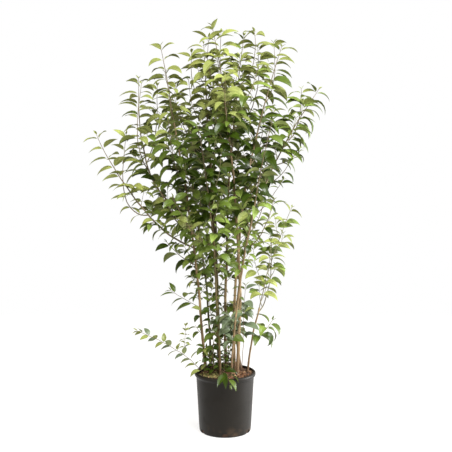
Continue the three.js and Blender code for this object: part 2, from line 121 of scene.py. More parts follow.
# Bark chips on the substrate: how many of each kind, the range of their lengths, and their colour.
# Widths and thicknesses are shares of the length
CHIPS = {
    "dark": (720, (0.008, 0.022), (0.034, 0.017, 0.008)),
    "red": (700, (0.009, 0.026), (0.135, 0.062, 0.027)),
    "pale": (210, (0.008, 0.028), (0.310, 0.195, 0.098)),
    "moss": (240, (0.012, 0.034), (0.105, 0.095, 0.026)),
}
CHIP_WIDTHS = (0.18, 0.504)
CHIP_THICKNESSES = (0.102, 0.238)
CHIP_UNEVENNESS = 0.16
CHIP_TILT = 0.35
CHIP_LIFT = 0.005
CHIP_MARGIN = 0.006
CHIP_CORNERS = np.array([(x, y, z) for x in (-1, 1) for y in (-1, 1) for z in (-1, 1)], float) / 2
CHIP_FACES = [(0, 1, 3, 2), (4, 6, 7, 5), (0, 4, 5, 1), (2, 3, 7, 6), (0, 2, 6, 4), (1, 5, 7, 3)]
MOSS_MIDDLE = (-0.060, -0.030)
MOSS_ROOM = 0.055

# Wood: its taper and flare, how branches leave it, and how it wanders
TIP_DIAMETER = 0.0048
ROOT_FLARE = 0.28
FLARE_HEIGHT = 0.045
STEM_SINKING = 0.012
BRANCH_LEAN = 32.0
BRANCH_BOW = 0.4
BRANCH_ROOT = 0.4
WANDER = 0.0035
WANDER_WAVES = (1.3, 2.9, 6.1)
CALM_LENGTH = 0.6
PATH_POINTS = 161

# Bark: ripples along and round the wood, swollen nodes and pores, and heights where its tone changes
BARK_SIDES = 18
BARK_STEP = 0.006
RIPPLES = 5
RIPPLE_HEIGHT = 0.014
RIPPLES_ALONG = (20, 90)
RIPPLES_ROUND = (1, 5)
NODE_SWELLING = 0.10
NODE_LENGTH = 0.006
SWELLING_SPACING = 0.0645
PORES_PER_METRE = 190
PORE_HEIGHT = 0.05
PORE_LENGTH = 0.005
PORE_TURN = 0.3
BROWNER_HEIGHTS = (0.55, 1.25)
FOOT_HEIGHTS = (0.28, 0.44)
FOOT_BARK = (0.085, 0.044, 0.026)
BARK_SPECULAR = 0.2
# Tones of each bark: dark, middle, light, and the tone that it takes higher up
BARKS = {
    "stem": ((0.105, 0.070, 0.034), (0.280, 0.197, 0.104), (0.440, 0.334, 0.196), (0.132, 0.096, 0.052)),
    "mossy": ((0.034, 0.030, 0.010), (0.084, 0.070, 0.026), (0.160, 0.125, 0.060), (0.092, 0.060, 0.034)),
    "bough": ((0.110, 0.084, 0.052), (0.215, 0.170, 0.108), (0.310, 0.252, 0.168), (0.205, 0.162, 0.104)),
    "shoot": ((0.072, 0.052, 0.028), (0.140, 0.106, 0.060), (0.205, 0.164, 0.100), (0.145, 0.112, 0.066)),
    "twig": ((0.080, 0.068, 0.034), (0.160, 0.138, 0.070), (0.240, 0.210, 0.120), (0.160, 0.142, 0.078)),
}

# Shoots and twigs
SHOOT_DIAMETER = 0.0052
SHOOT_TIP = 0.0019
TWIG_THINNESS = 0.62
TWIG_TIP = 0.0015
TWIG_SIDES = 6
TWIG_STEP = 0.016
NODE_SPACING = 0.043
BARE_LENGTH = 0.035
TIP_LENGTH = 0.024
MOST_BARE = 0.6
LEAST_LEAFY = 0.75
SIDE_TWIG_SPACING = 0.075
SIDE_TWIG_TURN = 44.0
SIDE_TWIG_CHANCE = 0.5
SIDE_TWIG_REACHES = (0.6, 1.2)
SIDE_TWIG_AIM = (0.55, 0.6)
SIDE_TWIG_END = 0.78
SHORTEST_TWIG = 0.05
SPUR_DIAMETER = 0.0026
SPUR_BARE = 0.02
SPUR_SPREADS = (45, 65)
SPUR_AIM = (0.85, 0.2)
TIP_OVERLAP = 0.01
TIP_POINTS = 60

# Leaves: sizes, how they stand on the twig in degrees, and ranges of chance in radians and shares
LEAF_LENGTH = 0.100
LEAF_WIDTH = 0.039
LEAF_THICKNESS = 0.0009
LEAF_SPREAD = 60.0
LEAF_DROOP = 88.0
LEAF_LEAST_RISE = 0.28
LEAF_SINKING = 0.3
LEAF_SIZES = (0.82, 1.1)
LEAF_DROOPS = (0.7, 1.25)
LEAF_ROLLS = (0.06, 0.62)
LEAF_FOLDS = (0.08, 0.42)
FIRST_TURN = 0.2
TURN_CHANCE = 0.3
SPREAD_CHANCE = 13
SMALLER_HEIGHTS = (0.80, 1.20)
SMALLER_SIZES = (0.78, 1.0)
YOUNG_SIZE = 0.86
YOUTH_STEEPNESS = 6
YOUNG_SPREAD = 42.0
YOUNG_DROOP = 74.0
BUD_PLACE = 0.99
BUD_SIZES = (0.18, 0.30)
BUD_SPREADS = (18, 34)
BUD_DROOP = 0.5
BUD_ROLL = 0.4
BUD_FOLD = 0.3
OUTWARD_SHARE = 0.78
STATIONS = np.array([0.0, 0.10, 0.20, 0.34, 0.48, 0.64, 0.80, 0.92, 1.0])
HALF_WIDTHS = np.array([0.0, 0.05, 0.60, 0.93, 1.0, 0.83, 0.49, 0.19, 0.0])
INNER_STATIONS = len(STATIONS) - 2

# Colour and gloss of the leaves, from young to old, and of the bluish ones on low shoots
LEAF_SKINS = {
    "lime": ((0.234, 0.267, 0.072), 0.18),
    "light": ((0.189, 0.220, 0.063), 0.22),
    "fresh": ((0.152, 0.215, 0.041), 0.24),
    "mid": ((0.074, 0.112, 0.017), 0.30),
    "deep": ((0.022, 0.041, 0.002), 0.34),
    "blue": ((0.108, 0.142, 0.082), 0.26),
}
LEAF_ROUGHNESS = 0.31
UNDERSIDE = (0.22, 0.24, 0.080)
UNDERSIDE_SHARE = 0.45
UNDERSIDE_ROUGHNESS = 0.6
UNDERSIDE_SPECULAR = 0.12

# A leaf's score, which picks its colour: what it starts from, what youth adds, what depth in the crown
# takes away (the older, darker leaves inside, and painted shade of the crown's interior), the spread of
# chance, and what the tone of its spray adds
SCORE_START = 0.5
SCORE_YOUTH = 0.2
SCORE_DEPTH_AGE_AND_SHADE = 1.9
SCORE_CHANCE = 0.22
TONE_SHIFTS = {"lime": 0.7, "light": 0.35, "olive": 0.2, "plain": 0.0, "deep": -0.5, "shade": -1.0}
LEAST_SCORES = {"lime": 1.0, "light": 0.35, "mid": -0.3, "deep": -math.inf}
# The crown's middle and its reach above and below. Leaves near the middle get darker colours, partly as
# older leaves and partly as painted shade; the reach to front and back is long, so front leaves are darkened
# too. The middle also sets which way the leaves face.
CROWN_MIDDLE = np.array([0.04, 0.0, 1.19])
CROWN_REACH = np.array([0.42, 0.85, 0.32])
CROWN_REACH_BELOW = np.array([0.42, 0.85, 0.40])
CROWN_FRONT = np.array([0.0, -0.12])
INNER_DEPTH = 0.25
# Tones that pick between two colours alone, with the share of the first
OWN_TONES = {
    "blue": ("blue", 0.85, "mid"),
    "bright": ("fresh", 0.85, "light"),
    "vivid": ("fresh", 0.55, "mid"),
    "green": ("fresh", 0.35, "mid"),
    "dark": ("mid", 0.3, "deep"),
    "pale": ("light", 0.35, "mid"),
    "soft": ("light", 0.6, "blue"),
}
DARK_TONES = ("deep", "shade", "dark", "blue")

# Stems: foot on the substrate, waist half way along, tip, diameter at the foot,
# and the share of the length that is bare wood
STEMS = {
    "left": ((-0.088, 0.008), (-0.166, -0.015, 1.0), (-0.283, -0.05, 1.745), 0.013, 0.77),
    "left_back": ((-0.066, 0.052), (-0.11, 0.112, 0.86), (-0.23, 0.285, 1.5), 0.010, 0.7),
    "centre_left": ((-0.025, 0.024), (-0.055, 0.042, 0.96), (-0.097, 0.06, 1.765), 0.017, 0.76),
    "centre": ((0.054, -0.022), (0.046, -0.048, 1.05), (-0.058, -0.062, 1.83), 0.015, 0.77),
    "centre_back": ((0.004, 0.058), (0.012, 0.072, 1.0), (0.084, 0.064, 1.8), 0.014, 0.76),
    "right": ((0.044, 0.022), (0.076, 0.016, 1.0), (0.25, -0.012, 1.745), 0.014, 0.74),
    "right_far": ((0.076, 0.05), (0.104, 0.058, 0.9), (0.42, 0.03, 1.56), 0.012, 0.72),
    "back_right": ((0.036, 0.084), (0.092, 0.18, 0.86), (0.232, 0.33, 1.48), 0.012, 0.7),
    "back": ((-0.03, 0.084), (-0.042, 0.2, 0.9), (-0.06, 0.365, 1.58), 0.012, 0.72),
    "front": ((-0.022, -0.052), (-0.048, -0.15, 0.84), (-0.112, -0.325, 1.4), 0.009, 0.7),
    "front_right": ((0.026, -0.066), (0.088, -0.15, 0.82), (0.196, -0.31, 1.42), 0.009, 0.7),
    "right_small": ((0.101, 0.002), (0.166, -0.004, 0.64), (0.3, -0.022, 1.036), 0.009, 0.4),
}
# Boughs: the stem and the height that each leaves, the way it sets out in degrees from +X towards +Y,
# its tip, its diameter at the stem, and the share of the length that is bare wood
BOUGHS = {
    "far_left": ("left", 0.85, 186, (-0.568, -0.048, 1.36), 0.008, 0.5),
    "near_left": ("left", 0.985, 168, (-0.39, 0.062, 1.61), 0.008, 0.52),
}
# Limbs whose bark isn't the common one
LIMB_BARKS = {
    **dict.fromkeys(("centre_left", "left_back", "back", "front"), "mossy"),
    **dict.fromkeys((*BOUGHS, "right_far", "back_right"), "bough"),
}

# Side sprays on each limb: height of the root, way in degrees from +X towards +Y, reach, and rise in degrees
SIDE_SPRAYS = {
    "left": [(0.77, 205, 0.175, 40), (0.93, 222, 0.27, 48), (1.15, 252, 0.33, 55)],
    "left_back": [(0.88, 195, 0.32, 50)],
    "centre_left": [(0.96, 228, 0.32, 55), (1.25, 168, 0.32, 60)],
    "centre": [(1.01, 312, 0.3, 50), (1.3, 262, 0.35, 64), (1.4, 345, 0.28, 62)],
    "centre_back": [(0.9, 62, 0.3, 50), (1.3, 100, 0.35, 64), (1.38, 12, 0.39, 74)],
    "right": [(0.95, 328, 0.3, 45), (1.22, 62, 0.3, 60)],
    "right_far": [(1.13, 316, 0.21, 40), (1.22, 0, 0.13, 30), (1.33, 50, 0.26, 66)],
    "back_right": [(0.88, 56, 0.3, 52)],
    "back": [(0.9, 132, 0.31, 50)],
    "front": [(0.87, 205, 0.29, 50)],
    "front_right": [(0.87, 306, 0.29, 50)],
    "right_small": [(0.555, 60, 0.44, 78)],
    "far_left": [(1.0, 182, 0.375, 76)],
    "near_left": [(1.2, 255, 0.39, 79), (1.23, 60, 0.36, 76)],
}
# More shoots that fill the crown's top between the tips of the stems, in rows like those of the side sprays
TOP_SHOOTS = {
    "centre_left": [(1.50, 195, 0.23, 74), (1.38, 215, 0.24, 66)],
    "centre": [(1.56, 185, 0.23, 76), (1.56, 100, 0.25, 80)],
    "centre_back": [(1.58, 0, 0.25, 74)],
    "right": [(1.50, 60, 0.28, 74)],
}


@dataclass
class Habit:
    """How a spray grows: the tone and size of its leaves, the spacing of their pairs, how far its side
    twigs reach as a share of what is left of the spray, the pairs' turn to and fro in degrees, how much
    the leaves droop, how broad they are and how much they roll, how much of its foot is bare, how thin its
    shoot is, how young it is, the share of its lighter leaves that are fresh green, and whether its shoot
    is brown like others or olive like twigs."""
    tone: str = "plain"
    leaf_size: float = 1.0
    spacing: float = NODE_SPACING
    twigs: float = 0.78
    turn: float = 38.0
    droop: float = 1.0
    width: float = 1.0
    roll: float = 1.0
    bare: float = BARE_LENGTH
    thin: float = 1.0
    youth: float = 0.0
    fresh: float = 0.04
    wood: str = "shoots"


# Habits in rows of tone, leaf size, spacing, twigs, turn, droop, width and roll, and then what else differs
PLAIN_HABIT = Habit()
LIMB_HABITS = {
    "right_small": Habit("lime", 1.04, 0.056, 0.42, 24, 0.9, 1.1, 1.3, bare=0.07, thin=0.6, fresh=0.35,
                         wood="twigs"),
    "right": Habit("plain", 1.12, 0.046, 0.2, 16, fresh=0.35),
    "right_far": Habit("vivid", 1.12, 0.043, 0.35, 18, 1.2),
    "front": Habit("deep"),
    "front_right": Habit("deep", 1.0, 0.055, 0.15, 32, fresh=0.35),
    "back": Habit("plain", 0.88),
    "back_right": Habit("plain", 0.9, 0.07, 0.3),
    "centre": Habit("light", 1.04, 0.043, 0.5, 32, fresh=0.15),
    "centre_back": Habit("light", 1.04, 0.043, 0.3, 32, fresh=0.2),
    "centre_left": Habit("light", 1.0, 0.043, 0.6, 32),
    "far_left": Habit("lime", 0.94, 0.045, 0.12, 24, 0.8),
    "near_left": Habit("plain", 0.94, 0.046, 0.15, 28, 0.9),
    "left": Habit("plain", 0.96, 0.043, 0.5, 28),
}
TOP_HABIT = Habit("light", 1.0, 0.043, 0.0, 28, bare=0.08, thin=0.8)
INNER_HABIT = Habit("plain", 1.04, 0.05, 0.55, 38, 1.0, 1.1, 1.6)
UPPER_HABIT = Habit("olive", 0.98, 0.05, 0.4, 32, roll=1.2, fresh=0.1)
# Side sprays that differ from their limb's habit, by limb and by their place in its list
SPRAY_HABITS = {
    ("left", 0): Habit("dark", 1.25, 0.065, 0.15, 25, 0.9, 1.2),
    ("left", 1): Habit("pale", 0.96, 0.055, 0.4, 38, 1.0, 1.1, 1.6),
    ("left_back", 0): INNER_HABIT,
    ("centre_left", 0): INNER_HABIT,
    ("centre_left", 1): UPPER_HABIT,
    ("centre", 0): Habit("deep", 0.98, 0.05, 0.6, 32, roll=1.4),
    ("centre", 1): Habit("plain", 0.95, 0.05, 0.4, 32, roll=1.2),
    ("centre", 2): Habit("plain", 1.04, 0.055, 0.1, 32, fresh=0.2),
    ("centre_back", 0): INNER_HABIT,
    ("centre_back", 1): UPPER_HABIT,
    ("centre_back", 2): Habit("plain", 1.1, 0.043, 0.0, 30, fresh=0.2),
    ("right", 0): Habit("deep", 0.76, 0.11, 0.0, 30, fresh=0.5),
    ("right", 1): Habit("plain", 0.82, 0.085, 0.0, 30, fresh=0.5),
    ("right_far", 0): Habit("dark", 0.82, 0.085, 0.0, 30),
    ("right_far", 1): Habit("green", 0.75, 0.06, 0.0, 30, 1.3),
    ("right_far", 2): Habit("light", 0.95, 0.043, 0.2, 30, 1.2, fresh=0.4),
    ("front", 0): Habit("pale", 0.94, 0.055, 0.5, 38, 1.0, 1.1, 1.4),
    ("front_right", 0): Habit("plain", 0.8, 0.12, 0.0, 30, fresh=0.6),
    ("right_small", 0): Habit("vivid", 0.94, 0.062, 0.25, 34, 0.9, 1.2, 1.5, bare=0.17, wood="twigs"),
    ("far_left", 0): Habit("lime", 0.84, 0.052, 0.0, 24, 0.8),
    ("near_left", 1): Habit("plain", 0.9, 0.065, 0.0, 28, 0.9),
}

# Low sprigs that come up from the substrate: root, bend, tip and habit
SPRIGS = {
    "low_left": ((-0.098, -0.018, SOIL_TOP), (-0.185, -0.03, 0.392), (-0.398, -0.042, 0.474),
                 Habit("soft", 0.76, 0.036, 0.0, 15, 0.7, 1.2, 1.5, bare=0.02, thin=0.5)),
    "low_centre": ((-0.055, -0.016, SOIL_TOP), (-0.052, -0.052, 0.44), (-0.072, -0.078, 0.64),
                   Habit("shade", 0.72, 0.045, 0.2, 38, 0.7, 1.4, 1.4, bare=0.12, thin=0.7)),
    "over_rim": ((-0.03, -0.084, SOIL_TOP), (-0.012, -0.15, 0.36), (0.022, -0.168, 0.262),
                 Habit("dark", 1.08, 0.022, 0.0, 45, 0.9, 0.8, 1.4, bare=0.08, thin=0.7)),
    "low_right": ((0.078, -0.034, SOIL_TOP), (0.076, -0.054, 0.47), (0.092, -0.074, 0.69),
                  Habit("blue", 1.04, 0.05, 0.15, 38, 0.8, 1.25, 1.5, bare=0.18, thin=0.7)),
}
# A small upright shoot on a sprig: where it leaves the sprig, as a share of its length, its tip and habit
LOW_SHOOT_SPRIG = "low_left"
LOW_SHOOT_ROOT = 0.35
LOW_SHOOT_TIP = np.array([-0.178, -0.04, 0.497])
LOW_SHOOT_BOW = 0.01
LOW_SHOOT_HABIT = Habit("soft", 0.5, 0.021, 0.0, 38, 0.8, roll=1.2, thin=0.4)
# Twigs low on the stems, the second with hanging leaves: stem, row like those of the side sprays, and habit
LOW_TWIGS = [
    ("left", (0.575, 186, 0.15, 32), Habit("deep", 1.05, 0.06, 0.0, 10, 0.7, roll=1.2, thin=0.5)),
    ("right_small", (0.43, 340, 0.13, 46), Habit("deep", 1.25, 0.03, 0.0, 30, 1.5, thin=0.6)),
]

# Thin suckers from the substrate between the stems
SUCKERS = 18
SUCKER_MIDDLE = (-0.044, 0.024)
SUCKER_ROOM = 0.066
SUCKER_SINKING = 0.01
SUCKER_HEIGHTS = (0.05, 0.15)
SUCKER_LEAN = 0.12
SUCKER_BEND = np.array([0.2, 0.2, 0.55])
SUCKER_HABITS = [
    Habit("shade", 0.44, 0.026, 0.6, 38, 0.7, 1.15, thin=0.6),
    Habit("shade", 0.52, 0.032, 0.5, 38, 0.8, 1.15, thin=0.6),
]


def spurs(heights, apart, reaches, tone, leaf_size=1.0, bare=SPUR_BARE, **habit):
    """A row of spurs on a limb: heights, how far apart they are along it, reach and habit."""
    return heights, apart, reaches, Habit(tone, leaf_size, bare=bare, **habit)


# Short leafy spurs on the bare wood
SPURS = {
    "foot": spurs((0.36, 0.72), 0.075, (0.02, 0.08), "deep", 0.74, youth=0.1, width=1.3, roll=1.3),
    "waist": spurs((0.70, 1.06), 0.075, (0.06, 0.15), "green", 0.95, width=1.1, roll=1.6),
    "crown": spurs((1.06, 1.30), 0.066, (0.06, 0.15), "deep", width=1.1, roll=1.6),
    "top": spurs((1.30, 1.50), 0.070, (0.06, 0.15), "plain", youth=0.1, roll=1.3),
    "dark_waist": spurs((0.62, 0.78), 0.060, (0.03, 0.08), "deep", 0.72, width=1.2, roll=1.4),
    "full_waist": spurs((0.70, 1.06), 0.058, (0.06, 0.15), "green", 0.98, width=1.15, roll=1.6),
    "plain_crown": spurs((1.06, 1.30), 0.066, (0.06, 0.15), "plain", width=1.1, roll=1.6),
    "mossy_foot": spurs((0.30, 0.72), 0.054, (0.015, 0.04), "deep", 0.52, bare=0.01, youth=0.1,
                        spacing=0.026, width=1.3, roll=1.3),
    "blue_foot": spurs((0.42, 0.56), 0.046, (0.02, 0.05), "blue", 0.85, width=1.3, roll=1.3),
    "open_waist": spurs((0.70, 0.92), 0.090, (0.03, 0.09), "bright", 0.85),
    "open_top": spurs((1.20, 1.50), 0.110, (0.05, 0.12), "plain", youth=0.1, fresh=0.3),
    "bright_waist": spurs((0.92, 1.08), 0.040, (0.05, 0.12), "bright", width=1.1, roll=1.5),
    "thick_crown": spurs((1.08, 1.36), 0.048, (0.06, 0.15), "deep", width=1.15, roll=1.6),
    "small_stem": spurs((0.62, 0.78), 0.060, (0.03, 0.08), "vivid", 0.80, spacing=0.034, droop=0.8),
    "bough": spurs((0.92, 1.30), 0.055, (0.03, 0.08), "light", 0.9, turn=20),
    "bough_foot": spurs((0.86, 1.00), 0.045, (0.03, 0.07), "green", 0.85, width=1.1, roll=1.5),
}
# Rows of spurs by limb. Limbs that aren't named have the common ones
COMMON_SPURS = ("foot", "waist", "crown", "top")
MOSSY_SPURS = ("mossy_foot", "full_waist", "crown", "top", "dark_waist")
OPEN_SPURS = ("blue_foot", "open_waist", "open_top")
LIMB_SPURS = {
    "left": ("foot", "full_waist", "plain_crown", "top", "dark_waist"),
    "left_back": MOSSY_SPURS,
    "centre_left": MOSSY_SPURS,
    "centre": ("blue_foot", "open_waist", "bright_waist", "thick_crown", "top"),
    "right": ("blue_foot", "open_waist", "bright_waist", "thick_crown", "open_top"),
    "right_far": OPEN_SPURS,
    "back_right": OPEN_SPURS,
    "front": ("blue_foot", "full_waist"),
    "front_right": ("blue_foot", "open_waist", "bright_waist", "open_top"),
    "right_small": ("small_stem",),
    "far_left": ("bough", "bough_foot"),
}

# Each kind of spray has random draws of its own
TIP, SIDE, TOP, SPRIG, LOW_TWIG, SUCKER, SPUR = range(7)


# Paths

def unit(vectors):
    """The vectors at length one."""
    return vectors / np.maximum(np.linalg.norm(vectors, axis=-1, keepdims=True), 1e-12)


def between(start, end, share):
    """A value part of the way from one to another."""
    return start + (end - start) * share


class Path:
    """A line of points that is read by the share of its length."""

    def __init__(self, points):
        self.points = np.asarray(points, float)
        steps = np.linalg.norm(np.diff(self.points, axis=0), axis=1)
        lengths = np.concatenate([[0.0], np.cumsum(steps)])
        self.length = lengths[-1]
        self.shares = lengths / self.length

    def at(self, share):
        columns = [np.interp(share, self.shares, self.points[:, axis]) for axis in range(3)]
        return np.stack(columns, axis=-1)

    def tangent(self, share):
        step = 0.01
        ahead = self.at(np.minimum(share + step, 1.0))
        behind = self.at(np.maximum(share - step, 0.0))
        return unit(ahead - behind)

    def share_at_height(self, height):
        """Where a rising path reaches a height."""
        return np.interp(height, self.points[:, 2], self.shares)


def bent_path(start, bend, tip, rng):
    """A quadratic curve that wanders a little, as grown wood does."""
    part = np.linspace(0.0, 1.0, PATH_POINTS)[:, None]
    start, bend, tip = (np.asarray(point, float) for point in (start, bend, tip))
    points = (1 - part) ** 2 * start + 2 * part * (1 - part) * bend + part ** 2 * tip
    wander = WANDER * min(1.0, np.linalg.norm(tip - start) / CALM_LENGTH)
    for waves in WANDER_WAVES:
        phase = rng.uniform(0, FULL_TURN, 3)
        swing = np.sin(FULL_TURN * waves * part + phase) - np.sin(phase)
        points = points + wander / waves ** 0.8 * swing * np.sin(math.pi * part) ** 0.5
    return Path(points)


def directed(tangent, turn, spread):
    """A direction that leaves a twig at an angle to it, turned about it from the crown's broad side."""
    level = unit(BROAD_SIDE - tangent * np.dot(BROAD_SIDE, tangent))
    aside = math.cos(turn) * level + math.sin(turn) * np.cross(tangent, level)
    return math.cos(spread) * tangent + math.sin(spread) * aside


# Meshes

def placed(name, data):
    """A new object in the scene."""
    made = bpy.data.objects.new(name, data)
    bpy.context.scene.collection.objects.link(made)
    return made


def mesh_object(name, vertices, faces):
    """A new mesh object in the scene."""
    mesh = bpy.data.meshes.new(name)
    mesh.from_pydata(np.asarray(vertices).tolist(), [], faces)
    return placed(name, mesh)


def new_piece(name, vertices, faces, materials, face_materials=None, smooth=True):
    """A mesh object that rides on the part's one body."""
    piece = mesh_object(name, vertices, faces)
    mesh = piece.data
    for material in materials:
        mesh.materials.append(material)
    if face_materials is not None:
        mesh.polygons.foreach_set("material_index", face_materials)
    mesh.polygons.foreach_set("use_smooth", [smooth] * len(mesh.polygons))
    mesh.update()
    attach(piece, "root")
    return piece


def round_angles(sides):
    """Angles at even steps round a circle."""
    return np.arange(sides) * FULL_TURN / sides


def band_faces(rings, sides):
    """Faces between rings of vertices, each ring with its next."""
    faces = []
    for low in range(0, (rings - 1) * sides, sides):
        for side in range(sides):
            here, following = low + side, low + (side + 1) % sides
            faces.append((here, following, following + sides, here + sides))
    return faces


def closed_faces(rings, sides):
    """Faces of a tube with a flat cap on each end."""
    last = (rings - 1) * sides
    caps = [tuple(range(sides - 1, -1, -1)), tuple(range(last, last + sides))]
    return band_faces(rings, sides) + caps


def repeated(faces, count, stride):
    """The faces of many like things, whose vertices follow each other."""
    return [tuple(stride * copy + corner for corner in face) for copy in range(count) for face in faces]


def turned(outline, sides):
    """A solid turned about +Z from an outline whose two ends lie on the axis."""
    radii, heights = np.array(outline)[:, :, None].transpose(1, 0, 2)
    angles = round_angles(sides)
    rings = np.stack(np.broadcast_arrays(radii * np.cos(angles), radii * np.sin(angles), heights), axis=-1)
    count = len(outline) - 2
    faces = band_faces(count, sides)
    bottom, top, last = count * sides, count * sides + 1, (count - 1) * sides
    for side in range(sides):
        following = (side + 1) % sides
        faces.append((bottom, following, side))
        faces.append((top, last + side, last + following))
    return np.concatenate([rings[1:-1].reshape(-1, 3), rings[0, :1], rings[-1, :1]]), faces


def tube(points, radii, sides):
    """A closed round tube. radii has one number for each point, or one for each point and side."""
    tangents = unit(np.gradient(points, axis=0))
    across = np.cross(tangents[0], ANY_DIRECTION)
    normals = []
    for tangent in tangents:
        across = unit(across - tangent * np.dot(across, tangent))
        normals.append(across)
    normals = np.array(normals)[:, None]
    binormals = np.cross(tangents[:, None], normals)
    angles = round_angles(sides)[:, None]
    spokes = np.cos(angles) * normals + np.sin(angles) * binormals
    rings = points[:, None] + np.reshape(radii, (len(points), -1, 1)) * spokes
    return rings.reshape(-1, 3), closed_faces(len(points), sides)


class Pile:
    """Vertices and faces of many small things that are joined in one mesh."""

    def __init__(self):
        self.vertices = np.zeros((0, 3))
        self.faces = []

    def add(self, vertices, faces):
        first = len(self.vertices)
        self.faces += [tuple(first + corner for corner in face) for face in faces]
        self.vertices = np.concatenate([self.vertices, vertices])


# Materials

class Nodes:
    """The nodes of a material or of the world, while they are put together."""

    def __init__(self, owner):
        owner.use_nodes = True
        self.tree = owner.node_tree

    def feed(self, node, inputs):
        """Sets each input of a node to a value, or links it to another node's output."""
        sockets = {socket.identifier: socket for socket in node.inputs}
        for name, source in inputs.items():
            if isinstance(source, bpy.types.NodeSocket):
                self.tree.links.new(source, sockets[name])
            elif sockets[name].type == "RGBA":
                sockets[name].default_value = (*source, 1.0)
            else:
                sockets[name].default_value = source

    def add(self, kind, output, inputs=None, **settings):
        """One output of a new node."""
        node = self.tree.nodes.new("ShaderNode" + kind)
        for name, value in settings.items():
            setattr(node, name, value)
        self.feed(node, inputs or {})
        return next(socket for socket in node.outputs if socket.identifier == output)

    def mix(self, factor, first, second):
        """Two colours mixed by a value."""
        inputs = {"Factor_Float": factor, "A_Color": first, "B_Color": second}
        return self.add("Mix", "Result_Color", inputs, data_type="RGBA")

    def spread(self, value, old, new):
        """A value mapped from one range to another."""
        inputs = {"Value": value, "From Min": old[0], "From Max": old[1], "To Min": new[0], "To Max": new[1]}
        return self.add("MapRange", "Result", inputs)

    def ramp(self, value, stops):
        """A colour that follows a value through stops of place and colour."""
        colour = self.add("ValToRGB", "Color", {"Fac": value})
        elements = colour.node.color_ramp.elements
        while len(elements) < len(stops):
            elements.new(0.5)
        for element, (place, tone) in zip(elements, stops):
            element.position = place
            element.color = (*tone, 1.0)
        return colour


class Surface(Nodes):
    """A material whose patterns are read from the object's own coordinates."""

    def __init__(self, name):
        self.material = bpy.data.materials.new(name)
        super().__init__(self.material)
        self.shader = self.tree.nodes["Principled BSDF"]
        self.place = self.add("TexCoord", "Object")

    def noise(self, scale, detail=4.0, stretch=(1, 1, 1), roughness=0.55):
        """A noise pattern."""
        place = self.add("Mapping", "Vector", {"Vector": self.place, "Scale": stretch})
        inputs = {"Vector": place, "Scale": scale, "Detail": detail, "Roughness": roughness}
        return self.add("TexNoise", "Fac", inputs)

    def height(self):
        """The height of each point on the surface."""
        return self.add("SeparateXYZ", "Z", {"Vector": self.place})

    def finish(self, colour, roughness, relief, specular=PLAIN_SPECULAR):
        """The material. Its fine relief has a pattern, a strength and a distance."""
        bump = self.add("Bump", "Normal", dict(zip(("Height", "Strength", "Distance"), relief)))
        self.feed(self.shader, {
            "Base Color": colour, "Roughness": roughness, "Normal": bump, "Specular IOR Level": specular,
        })
        return self.material


def grey(tone):
    """A colour with no hue."""
    return (tone, tone, tone)


def shaded(colour, share):
    """A colour made darker or lighter."""
    return tuple(min(1.0, channel * share) for channel in colour)


def leaf_material(name, colour, roughness, specular):
    """A leaf's skin: patches of tone, a paler midrib and a soft leathery gloss."""
    skin = Surface(name)
    patches = skin.noise(16.0, detail=2.0)
    tone = skin.ramp(patches, [(0.32, shaded(colour, 0.72)), (0.5, colour), (0.68, shaded(colour, 1.3))])
    chart = skin.add("UVMap", "UV", uv_map="LeafMap")
    from_rib = skin.add("SeparateXYZ", "X", {"Vector": chart})
    rib = skin.ramp(from_rib, [(0.0, WHITE), (0.06, grey(0.35)), (0.12, BLACK)])
    gloss = skin.spread(patches, (0.3, 0.7), (roughness - 0.05, roughness + 0.08))
    relief = (skin.noise(420.0, detail=2.0), 0.12, 0.0006)
    return skin.finish(skin.mix(rib, tone, shaded(colour, 1.55)), gloss, relief, specular)


def bark_material(kind):
    """Smooth bark: streaks along the stem and dull patches, a redder foot, and its own tone higher up."""
    dark, middle, light, upper = BARKS[kind]
    bark = Surface(f"{kind}_bark")
    streaks = bark.noise(55.0, detail=5.0, stretch=(1, 1, 0.16))
    tone = bark.ramp(streaks, [(0.3, dark), (0.52, middle), (0.75, light)])
    dull = bark.ramp(bark.noise(9.0, detail=3.0), [(0.45, BLACK), (0.7, grey(0.55))])
    tone = bark.mix(dull, tone, shaded(middle, 0.42))
    tone = bark.mix(bark.spread(bark.height(), FOOT_HEIGHTS, (0.75, 0.0)), tone, FOOT_BARK)
    tone = bark.mix(bark.spread(bark.height(), BROWNER_HEIGHTS, (0.0, 0.85)), tone, upper)
    relief = (bark.noise(260.0, stretch=(1, 1, 0.35)), 0.45, 0.0012)
    return bark.finish(tone, bark.spread(streaks, (0.3, 0.7), (0.7, 0.92)), relief, BARK_SPECULAR)


def chip_material(name, colour):
    """Shredded bark: fibres of varied tone, quite rough."""
    chip = Surface(name)
    grain = chip.noise(160.0, stretch=(1, 0.4, 1))
    tone = chip.ramp(grain, [(0.3, shaded(colour, 0.5)), (0.5, colour), (0.72, shaded(colour, 1.45))])
    return chip.finish(tone, chip.spread(grain, (0.3, 0.7), (0.8, 0.97)), (chip.noise(700.0), 0.5, 0.001))


